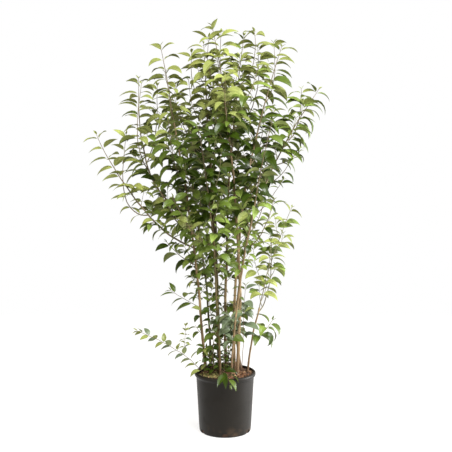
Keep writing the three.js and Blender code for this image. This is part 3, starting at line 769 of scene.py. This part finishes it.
def pot_material():
    """Black moulded plastic with a fine grain, dust towards the foot and a few pale scuffs."""
    skin = Surface("pot_plastic")
    clean = skin.ramp(skin.noise(6.0), list(zip((0.3, 0.7), POT_TONES)))
    low = skin.spread(skin.height(), (0.0, DUST_HEIGHT), (0.8, 0.0))
    blotches = skin.spread(skin.noise(22.0, detail=6.0), (0.5, 0.75), (0.0, 1.0))
    dust = skin.add("Math", "Value", {"Value": low, "Value_001": blotches}, operation="MULTIPLY")
    scratches = skin.noise(75.0, detail=8.0, stretch=(1, 1, 0.25), roughness=0.7)
    scuffs = skin.ramp(scratches, [(0.68, BLACK), (0.78, grey(0.25))])
    tone = skin.mix(scuffs, skin.mix(dust, clean, POT_DUST), POT_SCUFFS)
    roughness = skin.spread(blotches, (0.0, 1.0), (0.42, 0.62))
    relief = (skin.noise(900.0, detail=2.0), 0.18, 0.0006)
    return skin.finish(tone, roughness, relief, POT_SPECULAR)


# Pot

def wall_radius(height):
    """Radius of the pot's outer wall at a height."""
    return between(FOOT_RADIUS, RIM_RADIUS - LIP_OVERHANG, height / POT_HEIGHT)


def arc(middle, radius, start, end, count=7):
    """Points on a round corner, by angles in degrees."""
    angles = np.radians(np.linspace(start, end, count))
    return [(middle[0] + radius * math.cos(a), middle[1] + radius * math.sin(a)) for a in angles]


def pot_outline():
    """The pot's section from the middle of its underside, up the outside and down the inside."""
    lip_foot = POT_HEIGHT - LIP_HEIGHT
    neck = wall_radius(lip_foot)
    lip_middle = RIM_RADIUS - LIP_ROUND
    inner_middle = wall_radius(POT_HEIGHT) - POT_WALL + INNER_ROUND
    outline = [(0.0, 0.0)]
    outline += [(FOOT_RADIUS * share, 0.0) for share in BASE_RINGS]
    outline += arc((FOOT_RADIUS - FOOT_ROUND, FOOT_ROUND), FOOT_ROUND, -90, 0)
    outline += [(wall_radius(h), h) for h in np.linspace(LOWEST_RING, lip_foot - LIP_HOLLOW, OUTER_RINGS)]
    outline += arc((neck + LIP_HOLLOW, lip_foot), LIP_HOLLOW, 180, 140, 5)
    outline += arc((lip_middle, lip_foot + LIP_TAPER + LIP_ROUND), LIP_ROUND, -50, 0, 5)
    outline += arc((lip_middle, POT_HEIGHT - LIP_ROUND), LIP_ROUND, 0, 90)
    outline += arc((inner_middle, POT_HEIGHT - INNER_ROUND), INNER_ROUND, 90, 180, 4)
    inner_heights = np.linspace(HIGHEST_INNER_RING, POT_WALL, INNER_RINGS)
    outline += [(wall_radius(h) - POT_WALL, h) for h in inner_heights]
    return [*outline, (0.0, POT_WALL)]


def drain_cutters():
    """Rounded blocks across the pot's lower edge, one for each drain notch."""
    half = DRAIN_WIDTH / 2
    section = [(-half, -CUTTER_BELOW), (half, -CUTTER_BELOW)]
    section += arc((half - DRAIN_ROUND, DRAIN_HEIGHT - DRAIN_ROUND), DRAIN_ROUND, 0, 90, 5)
    section += arc((DRAIN_ROUND - half, DRAIN_HEIGHT - DRAIN_ROUND), DRAIN_ROUND, 90, 180, 5)
    ends = (-FOOT_RADIUS - CUTTER_OUTSIDE, -FOOT_RADIUS + DRAIN_DEPTH)
    block = np.array([(x, y, z) for y in ends for x, z in section])
    turns = [np.array(Euler((0, 0, turn)).to_matrix()) for turn in round_angles(DRAIN_HOLES)]
    faces = [face[::-1] for face in closed_faces(2, len(section))]
    return np.concatenate([block @ turn.T for turn in turns]), repeated(faces, DRAIN_HOLES, len(block))


def make_pot():
    """The pot's shell with its drain notches cut out."""
    pot = new_piece("pot_shell", *turned(pot_outline(), POT_SIDES), [pot_material()])
    cutter = mesh_object("cutters", *drain_cutters())
    cut = pot.modifiers.new("drains", "BOOLEAN")
    cut.operation = "DIFFERENCE"
    cut.solver = "EXACT"
    cut.object = cutter
    bpy.context.view_layer.update()
    graph = bpy.context.evaluated_depsgraph_get()
    finished = bpy.data.meshes.new_from_object(pot.evaluated_get(graph))
    pot.modifiers.clear()
    pot.data = finished
    bpy.data.objects.remove(cutter)
    finished.set_sharp_from_angle(angle=math.radians(SHARP_ANGLE))
    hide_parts("pot")


# Substrate

def soil_height(x, y):
    """Level of the substrate, which is a little higher on the right and in front."""
    inner = wall_radius(SOIL_TOP) - POT_WALL
    return SOIL_TOP - SOIL_SINKING + SOIL_MOUND * (x - y / 2) / inner


def soil_radius(height):
    """Radius of the substrate at a height, just clear of the pot's wall."""
    return wall_radius(height) - POT_WALL - SOIL_GAP


def make_substrate(rng):
    """A rough plug of substrate that fills the pot."""
    foot = POT_WALL + SOIL_GAP
    outline = [(0.0, foot), (soil_radius(POT_WALL), foot), (soil_radius(SOIL_WAIST), SOIL_WAIST)]
    top_rings = np.arange(SOIL_RINGS, -1, -1) / SOIL_RINGS
    outline += [(soil_radius(SOIL_TOP) * share, SOIL_TOP) for share in top_rings]
    vertices, faces = turned(outline, SOIL_SIDES)
    rough = rng.normal(0, SOIL_ROUGH, (SOIL_RINGS, SOIL_SIDES))[::-1]
    top = vertices[2 * SOIL_SIDES:-2]
    top[:, 2] = soil_height(top[:, 0], top[:, 1]) + rough.ravel()
    vertices[-1, 2] = soil_height(0, 0)
    # The corner that a face starts from decides how the rough top is split into triangles
    faces = [(*face[1:], face[0]) for face in faces]
    soil = new_piece("substrate", vertices, faces, [chip_material("substrate_fibre", SOIL_COLOUR)])
    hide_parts("soil")


def make_chips(rng):
    """Splinters of bark strewn on the substrate, one piece for each colour."""
    room = wall_radius(SOIL_TOP) - POT_WALL - CHIP_MARGIN
    for kind, (count, lengths, colour) in CHIPS.items():
        length = rng.uniform(*lengths, count)
        width = length * rng.uniform(*CHIP_WIDTHS, count)
        thickness = length * rng.uniform(*CHIP_THICKNESSES, count)
        corners = CHIP_CORNERS * (1 + rng.normal(0, CHIP_UNEVENNESS, (count, *CHIP_CORNERS.shape)))
        corners *= np.stack([length, width, thickness], axis=1)[:, None]
        tilts = rng.normal(0, CHIP_TILT, (2, count))
        turns = rng.uniform(0, FULL_TURN, count)
        rotations = np.array([Euler(angles).to_matrix() for angles in zip(*tilts, turns)])
        corners = np.einsum("nij,nkj->nki", rotations, corners)
        radius = (room - length / 2) * np.sqrt(rng.uniform(0, 1, count))
        angle = rng.uniform(0, FULL_TURN, count)
        middle = (0.0, 0.0)
        if kind == "moss":
            middle = MOSS_MIDDLE
            radius *= MOSS_ROOM / room
        x, y = middle[0] + radius * np.cos(angle), middle[1] + radius * np.sin(angle)
        z = soil_height(x, y) + rng.uniform(0, CHIP_LIFT, count)
        corners += np.stack([x, y, z], axis=1)[:, None]
        faces = repeated(CHIP_FACES, count, len(CHIP_CORNERS))
        skin = chip_material(f"chips_{kind}", colour)
        chips = new_piece(f"bark_chips_{kind}", corners.reshape(-1, 3), faces, [skin], smooth=False)


# Stems and boughs

@dataclass
class Limb:
    """A stem or bough: its path, diameter at the foot, share that is bare wood, and root flare."""
    path: Path
    thick: float
    wood: float
    flare: float = 0.0

    def radius(self, share):
        flare = 1 + self.flare * np.exp(-share * self.path.length / FLARE_HEIGHT)
        return between(self.thick, TIP_DIAMETER, share) * flare / 2


def branch_path(limb, height, way, radius, rng, tip=None, reach=0.0, rise=0.0):
    """A branch that leaves a limb at a height and leans upward, to a tip or by its reach and rise."""
    share = limb.path.share_at_height(height)
    root, tangent = limb.path.at(share), limb.path.tangent(share)
    turn, rise, lean = np.radians([way, rise, BRANCH_LEAN])
    level = np.array([math.cos(turn), math.sin(turn), 0.0])
    out = unit(level - tangent * np.dot(level, tangent))
    edge = root + out * (limb.radius(share) + radius * math.sin(lean))
    if tip is None:
        tip = edge + reach * (math.cos(rise) * level + math.sin(rise) * UP)
    set_out = out * math.cos(lean) + tangent * math.sin(lean)
    bend = edge + set_out * BRANCH_BOW * np.linalg.norm(edge - tip)
    return bent_path(root + out * limb.radius(share) * BRANCH_ROOT, bend, tip, rng)


def grow_limbs(rng):
    """Every stem and bough by name."""
    limbs = {}
    for name, (foot, waist, tip, thick, wood) in STEMS.items():
        start, tip = np.array([*foot, SOIL_TOP - STEM_SINKING]), np.array(tip)
        bend = 2 * np.array(waist) - start / 2 - tip / 2
        limbs[name] = Limb(bent_path(start, bend, tip, rng), thick, wood, ROOT_FLARE)
    for name, (stem, height, way, tip, thick, wood) in BOUGHS.items():
        path = branch_path(limbs[stem], height, way, thick / 2, rng, tip=np.array(tip))
        limbs[name] = Limb(path, thick, wood)
    return limbs


def bark_relief(heights, angles, rng):
    """Share by which bark stands out, along and round a limb: ripples, swollen nodes and pores."""
    relief = np.zeros((len(heights), len(angles)))
    for _ in range(RIPPLES):
        along, around = rng.uniform(*RIPPLES_ALONG), rng.integers(*RIPPLES_ROUND)
        phase = rng.uniform(0, FULL_TURN)
        relief += RIPPLE_HEIGHT * np.sin(along * heights[:, None] + around * angles + phase)
    first = rng.uniform(0, SWELLING_SPACING)
    place = (heights + first) % SWELLING_SPACING - SWELLING_SPACING / 2
    relief += NODE_SWELLING * np.exp(-(place / NODE_LENGTH) ** 2)[:, None]
    for _ in range(int(PORES_PER_METRE * heights[-1])):
        height, angle = rng.uniform(0, heights[-1]), rng.uniform(0, FULL_TURN)
        turn = (angles - angle + math.pi) % FULL_TURN - math.pi
        along = np.exp(-((heights - height) / PORE_LENGTH) ** 2)
        relief += PORE_HEIGHT * np.outer(along, np.exp(-(turn / PORE_TURN) ** 2))
    return relief


def make_bark(limbs, rng):
    """Stems and boughs with the bark's relief, each in place of its solid."""
    skins = {kind: bark_material(kind) for kind in ("stem", "mossy", "bough")}
    angles = round_angles(BARK_SIDES)
    for name, limb in limbs.items():
        length = limb.path.length * limb.wood
        heights = np.linspace(0, length, int(length / BARK_STEP) + 2)
        shares = heights / limb.path.length
        radii = limb.radius(shares)[:, None] * (1 + bark_relief(heights, angles, rng))
        vertices, faces = tube(limb.path.at(shares), radii, BARK_SIDES)
        kind = "bough" if name in BOUGHS else "stem"
        skin = skins[LIMB_BARKS.get(name, "stem")]
        bark = new_piece(f"bark_{kind}_{name}", vertices, faces, [skin])
        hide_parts(f"{kind}_{name}")


# Foliage

class Foliage:
    """Everything that grows on the limbs: tubes of shoots and twigs, and the rows of leaves."""

    def __init__(self):
        self.tubes = {"shoots": Pile(), "twigs": Pile()}
        self.leaves = {kind: [] for kind in LEAF_SKINS}

    def add_tube(self, kind, path, base, tip):
        shares = np.linspace(0, 1, max(3, int(path.length / TWIG_STEP)))
        self.tubes[kind].add(*tube(path.at(shares), between(base, tip, shares) / 2, TWIG_SIDES))


def leaf_kind(point, young, habit, rng):
    """The colour of a leaf, from its age, its spray's own tone and how deep in the crown it lies. Leaves
    deep in the crown are darker, partly as older leaves and partly as painted shade.
    """
    if habit.tone in OWN_TONES:
        kind, share, other = OWN_TONES[habit.tone]
        return kind if rng.random() < share else other
    # Depth in the crown lowers the score: older, darker leaves inside, and painted shade of the crown's
    # interior
    reach = CROWN_REACH if point[2] > CROWN_MIDDLE[2] else CROWN_REACH_BELOW
    depth = max(0.0, 1 - np.linalg.norm((point - CROWN_MIDDLE) / reach))
    score = SCORE_START + SCORE_YOUTH * young - SCORE_DEPTH_AGE_AND_SHADE * depth + TONE_SHIFTS[habit.tone]
    score += rng.normal(0, SCORE_CHANCE)
    kind = next(kind for kind, least in LEAST_SCORES.items() if score > least)
    may_be_fresh = kind in ("mid", "light") and depth < INNER_DEPTH
    return "fresh" if may_be_fresh and rng.random() < habit.fresh else kind


def raised(direction):
    """A leaf's direction with its stalk turned up, as leaves turn their faces to the light."""
    rise = direction[2]
    if rise < LEAF_LEAST_RISE:
        rise = LEAF_LEAST_RISE + LEAF_SINKING * (rise - LEAF_LEAST_RISE)
    return unit(np.array([*direction[:2], rise]))


def facing(root, direction, rng):
    """Which way a leaf rolls, 1 or -1. Most roll so that their upper sides look out of the crown."""
    outward = (root - CROWN_MIDDLE)[:2] + CROWN_FRONT
    aside = np.array([-direction[1], direction[0]])
    sign = -1 if np.dot(aside, outward) > 0 else 1
    return sign if rng.random() < OUTWARD_SHARE else -sign


def add_leaves(foliage, path, habit, rng):
    """Opposite pairs along a path, turned a little to and fro, younger towards the tip."""
    first = min(habit.bare, path.length * MOST_BARE)
    last = max(path.length - TIP_LENGTH, path.length * LEAST_LEAFY)
    pairs = max(1, round((last - first) / habit.spacing))
    start = rng.uniform(-FIRST_TURN, FIRST_TURN)
    for pair in range(pairs + 1):
        share = between(first, last, pair / pairs) / path.length
        root, tangent = path.at(share), path.tangent(share)
        young = between(habit.youth, 1, (pair / pairs) ** YOUTH_STEEPNESS)
        to_and_fro = math.radians(habit.turn) * (-1) ** pair
        for side in (0, math.pi):
            turn = start + side + to_and_fro + rng.uniform(-TURN_CHANCE, TURN_CHANCE)
            spread = between(LEAF_SPREAD, YOUNG_SPREAD, young) + rng.uniform(-SPREAD_CHANCE, SPREAD_CHANCE)
            size = between(1, YOUNG_SIZE, young) * rng.uniform(*LEAF_SIZES) * habit.leaf_size
            size *= np.interp(root[2], SMALLER_HEIGHTS, SMALLER_SIZES)
            direction = raised(directed(tangent, turn, math.radians(spread)))
            roll = facing(root, direction, rng) * rng.uniform(*LEAF_ROLLS) * habit.roll
            kind = leaf_kind(root, young, habit, rng)
            droop = between(LEAF_DROOP, YOUNG_DROOP, young) * habit.droop * rng.uniform(*LEAF_DROOPS)
            shape = (LEAF_LENGTH * size, math.radians(droop), roll, rng.uniform(*LEAF_FOLDS), habit.width)
            foliage.leaves[kind].append((*root, *direction, *shape))


def add_bud(foliage, path, habit, rng):
    """The two small upright leaves at a shoot's tip."""
    tip, tangent = path.at(BUD_PLACE), path.tangent(BUD_PLACE)
    kind = "mid" if habit.tone in DARK_TONES else "light"
    turn = rng.uniform(0, math.pi)
    for side in (0, math.pi):
        direction = directed(tangent, turn + side, math.radians(rng.uniform(*BUD_SPREADS)))
        length = LEAF_LENGTH * rng.uniform(*BUD_SIZES)
        roll = rng.uniform(-BUD_ROLL, BUD_ROLL)
        foliage.leaves[kind].append((*tip, *direction, length, BUD_DROOP, roll, BUD_FOLD, 1.0))


def twig_path(root, way, reach, aim, rng):
    """A twig that sets out one way and bends upward. aim says how far it gets that way and up."""
    outward, upward = aim
    tip = root + reach * (outward * way + upward * UP)
    return bent_path(root, root + reach * way / 2, tip, rng)


def side_twigs(path, share_of_rest, rng):
    """Finer twigs from the axils of a shoot's lower nodes. Each reaches about a share of the way that is
    left to the shoot's tip."""
    start = rng.uniform(0, FULL_TURN)
    twigs = []
    for count, place in enumerate(np.arange(BARE_LENGTH, SIDE_TWIG_END * path.length, SIDE_TWIG_SPACING)):
        share = place / path.length
        reach = (path.length - place) * share_of_rest * rng.uniform(*SIDE_TWIG_REACHES)
        turn = start + count * FULL_TURN / 3 + rng.uniform(-SIDE_TWIG_CHANCE, SIDE_TWIG_CHANCE)
        if reach >= SHORTEST_TWIG:
            way = directed(path.tangent(share), turn, math.radians(SIDE_TWIG_TURN))
            twigs.append(twig_path(path.at(share), way, reach, SIDE_TWIG_AIM, rng))
    return twigs


def add_spray(foliage, path, base, habit, rng):
    """A leafy shoot with its side twigs."""
    base = base * habit.thin
    foliage.add_tube(habit.wood, path, base, SHOOT_TIP)
    add_leaves(foliage, path, habit, rng)
    add_bud(foliage, path, habit, rng)
    for twig in side_twigs(path, habit.twigs, rng):
        foliage.add_tube("twigs", twig, min(base, SHOOT_DIAMETER) * TWIG_THINNESS, TWIG_TIP)
        add_leaves(foliage, twig, habit, rng)
        add_bud(foliage, twig, habit, rng)


def add_side_spray(foliage, limb, row, habit, rng):
    """A spray from a limb's side, by its row of height, way, reach and rise."""
    height, way, reach, rise = row
    path = branch_path(limb, height, way, SHOOT_DIAMETER / 2, rng, reach=reach, rise=rise)
    add_spray(foliage, path, SHOOT_DIAMETER, habit, rng)


def stream(*keys):
    """The random draws of one spray, which don't change when another spray does."""
    return np.random.default_rng([SEED, *keys])


def grow_sprays(foliage, limbs):
    """The tip of every limb, its side sprays and top shoots, and the low sprigs and twigs."""
    for number, (name, limb) in enumerate(limbs.items()):
        habit = LIMB_HABITS.get(name, PLAIN_HABIT)
        tip_path = Path(limb.path.at(np.linspace(limb.wood - TIP_OVERLAP, 1.0, TIP_POINTS)))
        add_spray(foliage, tip_path, 2 * limb.radius(limb.wood), habit, stream(TIP, number))
        for place, row in enumerate(SIDE_SPRAYS[name]):
            own_habit = SPRAY_HABITS.get((name, place), habit)
            add_side_spray(foliage, limb, row, own_habit, stream(SIDE, number, place))
        for place, row in enumerate(TOP_SHOOTS.get(name, [])):
            add_side_spray(foliage, limb, row, TOP_HABIT, stream(TOP, number, place))
    for number, (name, (*ends, habit)) in enumerate(SPRIGS.items()):
        rng = stream(SPRIG, number)
        path = bent_path(*ends, rng)
        add_spray(foliage, path, SHOOT_DIAMETER, habit, rng)
        if name == LOW_SHOOT_SPRIG:
            root = path.at(LOW_SHOOT_ROOT)
            shoot = bent_path(root, (root + LOW_SHOOT_TIP) / 2 + LOW_SHOOT_BOW * UP, LOW_SHOOT_TIP, rng)
            add_spray(foliage, shoot, SHOOT_DIAMETER, LOW_SHOOT_HABIT, rng)
    for number, (stem, row, habit) in enumerate(LOW_TWIGS):
        add_side_spray(foliage, limbs[stem], row, habit, stream(LOW_TWIG, number))


def grow_suckers(foliage):
    """Thin leafy suckers from the substrate, in a round patch between the stems."""
    for number in range(SUCKERS):
        rng = stream(SUCKER, number)
        angle, radius = rng.uniform(0, FULL_TURN), SUCKER_ROOM * math.sqrt(rng.uniform(0, 1))
        root = np.array([*SUCKER_MIDDLE, SOIL_TOP - SUCKER_SINKING])
        root += radius * np.array([math.cos(angle), math.sin(angle), 0.0])
        height = rng.uniform(*SUCKER_HEIGHTS)
        rise = np.array([*(rng.normal(0, SUCKER_LEAN, 2) * height), height])
        path = bent_path(root, root + SUCKER_BEND * rise, root + rise, rng)
        add_spray(foliage, path, SHOOT_DIAMETER, SUCKER_HABITS[number % len(SUCKER_HABITS)], rng)


def grow_spurs(foliage, limbs):
    """Short leafy spurs that fill the crown along the bare wood."""
    for number, (name, limb) in enumerate(limbs.items()):
        for place, kind in enumerate(LIMB_SPURS.get(name, COMMON_SPURS)):
            (low, high), apart, reaches, habit = SPURS[kind]
            rng = stream(SPUR, number, place)
            step = apart / limb.path.length
            for share in np.arange(0.0, limb.wood, step) + rng.uniform(0, step):
                root, tangent = limb.path.at(share), limb.path.tangent(share)
                if low < root[2] < high:
                    turn, spread = rng.uniform(0, FULL_TURN), math.radians(rng.uniform(*SPUR_SPREADS))
                    reach = rng.uniform(*reaches)
                    path = twig_path(root, directed(tangent, turn, spread), reach, SPUR_AIM, rng)
                    foliage.add_tube("twigs", path, SPUR_DIAMETER, TWIG_TIP)
                    add_leaves(foliage, path, habit, rng)


def leaf_vertices(rows):
    """Vertices of many leaves: thin blades, creased along the rib, that arch over and come to a point. Each
    has its base, its tip, its left and right edge, and its rib's upper and under side."""
    rows = np.array(rows)
    root, direction = rows[:, 0:3], rows[:, 3:6]
    length, droop, roll, fold, width = (rows[:, column, None] for column in range(6, 11))
    level = unit(direction * [1, 1, 0] + [1e-6, 0, 0])
    aside = np.cross(UP, level)[:, None]
    level = level[:, None]
    rise = np.arcsin(np.clip(direction[:, 2:3], -1, 1))
    slope = rise - droop * STATIONS
    along = length * (np.sin(rise) - np.sin(slope)) / droop
    upward = length * (np.cos(slope) - np.cos(rise)) / droop
    rib = root[:, None] + along[..., None] * level + upward[..., None] * UP
    tangent = np.cos(slope)[..., None] * level + np.sin(slope)[..., None] * UP
    across = np.cos(roll)[..., None] * aside + np.sin(roll)[..., None] * np.cross(tangent, aside)
    normal = np.cross(tangent, across)
    half = (length * width * LEAF_WIDTH / LEAF_LENGTH / 2 * HALF_WIDTHS)[..., None]
    edge_lift = normal * half * fold[..., None]
    thick = normal * LEAF_THICKNESS / 2
    blocks = [rib + across * half + edge_lift, rib - across * half + edge_lift, rib + thick, rib - thick]
    return np.concatenate([rib[:, :1], rib[:, -1:], *(block[:, 1:-1] for block in blocks)], axis=1)


def leaf_faces():
    """Faces of one leaf, which of them are undersides, and a chart of each corner: how far it lies from the
    rib, and how far along the leaf."""
    inner = INNER_STATIONS
    base, tip = 0, 1
    left, right, top, under = (2 + inner * block for block in range(4))
    faces, below = [], []
    for middle in (top, under):
        for side in (left, right):
            strip = [(base, middle, side)]
            strip += [(middle + i, middle + i + 1, side + i + 1, side + i) for i in range(inner - 1)]
            strip.append((middle + inner - 1, tip, side + inner - 1))
            turned_over = (side == right) != (middle == under)
            faces += [face[::-1] if turned_over else face for face in strip]
            below += [int(middle == under)] * len(strip)
    along = np.array([0.0, 1.0, *np.tile(STATIONS[1:-1], 4)])
    from_rib = np.zeros(len(along))
    from_rib[left:top] = 1.0
    corners = [corner for face in faces for corner in face]
    return faces, below, np.stack([from_rib, along], axis=1)[corners]


def crease(mesh, stride):
    """Keeps each leaf's outline and rib crisp under smooth shading."""
    ends = np.zeros(2 * len(mesh.edges), int)
    mesh.edges.foreach_get("vertices", ends)
    ends = ends.reshape(-1, 2) % stride
    block = (ends - 2) // INNER_STATIONS
    sharp = (block[:, 0] == block[:, 1]) | (ends < 2).any(axis=1)
    mark = mesh.attributes.new("sharp_edge", "BOOLEAN", "EDGE")
    mark.data.foreach_set("value", sharp)


def make_foliage(limbs):
    """Shoots and twigs in place of the masses of foliage, and their leaves, one piece for each colour."""
    foliage = Foliage()
    grow_sprays(foliage, limbs)
    grow_suckers(foliage)
    grow_spurs(foliage, limbs)
    sprays = [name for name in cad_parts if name.startswith(("spray_", "sprig_"))]
    for kind, bark in (("shoots", "shoot"), ("twigs", "twig")):
        pile = foliage.tubes[kind]
        piece = new_piece(kind, pile.vertices, pile.faces, [bark_material(bark)])
        if kind == "shoots":
            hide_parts(*sprays)
    faces, below, chart = leaf_faces()
    for kind, (colour, specular) in LEAF_SKINS.items():
        vertices = leaf_vertices(foliage.leaves[kind])
        count, stride = vertices.shape[:2]
        pale = tuple(between(a, b, UNDERSIDE_SHARE) for a, b in zip(colour, UNDERSIDE))
        skins = [
            leaf_material(f"leaf_{kind}", colour, LEAF_ROUGHNESS, specular),
            leaf_material(f"leaf_{kind}_under", pale, UNDERSIDE_ROUGHNESS, UNDERSIDE_SPECULAR),
        ]
        all_faces = repeated(faces, count, stride)
        leaves = new_piece(f"leaves_{kind}", vertices.reshape(-1, 3), all_faces, skins, below * count)
        leaf_map = leaves.data.uv_layers.new(name="LeafMap")
        leaf_map.uv.foreach_set("vector", np.tile(chart, (count, 1)).ravel())
        crease(leaves.data, stride)


# Stage

def make_world():
    """A white ground for the camera. Its light is dim on the left and grows towards the right."""
    world = bpy.data.worlds.new("studio")
    sky = Nodes(world)
    rightward = sky.add("SeparateXYZ", "X", {"Vector": sky.add("TexCoord", "Generated")})
    seen = sky.add("LightPath", "Is Camera Ray")
    light = sky.spread(rightward, (0.0, 1.0), (SKY_LEFT, SKY_RIGHT))
    strength = sky.add("Mix", "Result_Float", {"Factor_Float": seen, "A_Float": light, "B_Float": 1.0})
    whiteness = sky.add("Math", "Value", {"Value": seen, "Value_001": rightward}, operation="MAXIMUM")
    ground = sky.tree.nodes["Background"]
    sky.feed(ground, {"Color": sky.mix(whiteness, WARM, WHITE), "Strength": strength})
    bpy.context.scene.world = world


def make_stage():
    """A pale floor, soft light from all round and three large lamps."""
    corners = [(x * FLOOR_REACH, y * FLOOR_REACH, 0.0) for x, y in ((-1, -1), (1, -1), (1, 1), (-1, 1))]
    floor = mesh_object("floor", corners, [(0, 1, 2, 3)])
    paper = Surface("floor_paper")
    tones = [(place, grey(tone)) for place, tone in enumerate(FLOOR_TONES)]
    paper.feed(paper.shader, {
        "Base Color": paper.ramp(paper.noise(0.6), tones),
        "Roughness": FLOOR_ROUGHNESS,
        "Emission Color": WHITE,
        "Emission Strength": FLOOR_GLOW,
    })
    floor.data.materials.append(paper.material)
    make_world()
    for name, (place, energy, size, colour) in LAMPS.items():
        lamp = bpy.data.lights.new(name, "AREA")
        lamp.energy = energy
        lamp.size = size
        lamp.color = colour
        holder = placed(name, lamp)
        holder.location = place
        aim = np.array(LAMP_AIM) - place
        fall = math.atan2(math.hypot(aim[0], aim[1]), -aim[2])
        holder.rotation_euler = (fall, 0.0, math.atan2(-aim[0], aim[1]))


def make_camera():
    """The photograph's camera, and a plain view of the colours."""
    camera = bpy.data.cameras.new("camera")
    camera.lens = CAMERA_LENS
    camera.sensor_width = SENSOR_WIDTH
    holder = placed("camera", camera)
    holder.location = CAMERA_PLACE
    holder.rotation_euler = (math.radians(90 - CAMERA_PITCH), 0.0, 0.0)
    bpy.context.scene.camera = holder
    bpy.context.scene.view_settings.view_transform = "Standard"


make_camera()
make_stage()
make_pot()
make_substrate(np.random.default_rng(SEED + 1))
make_chips(np.random.default_rng(SEED + 2))
limbs = grow_limbs(np.random.default_rng(SEED + 3))
make_bark(limbs, np.random.default_rng(SEED + 4))
make_foliage(limbs)
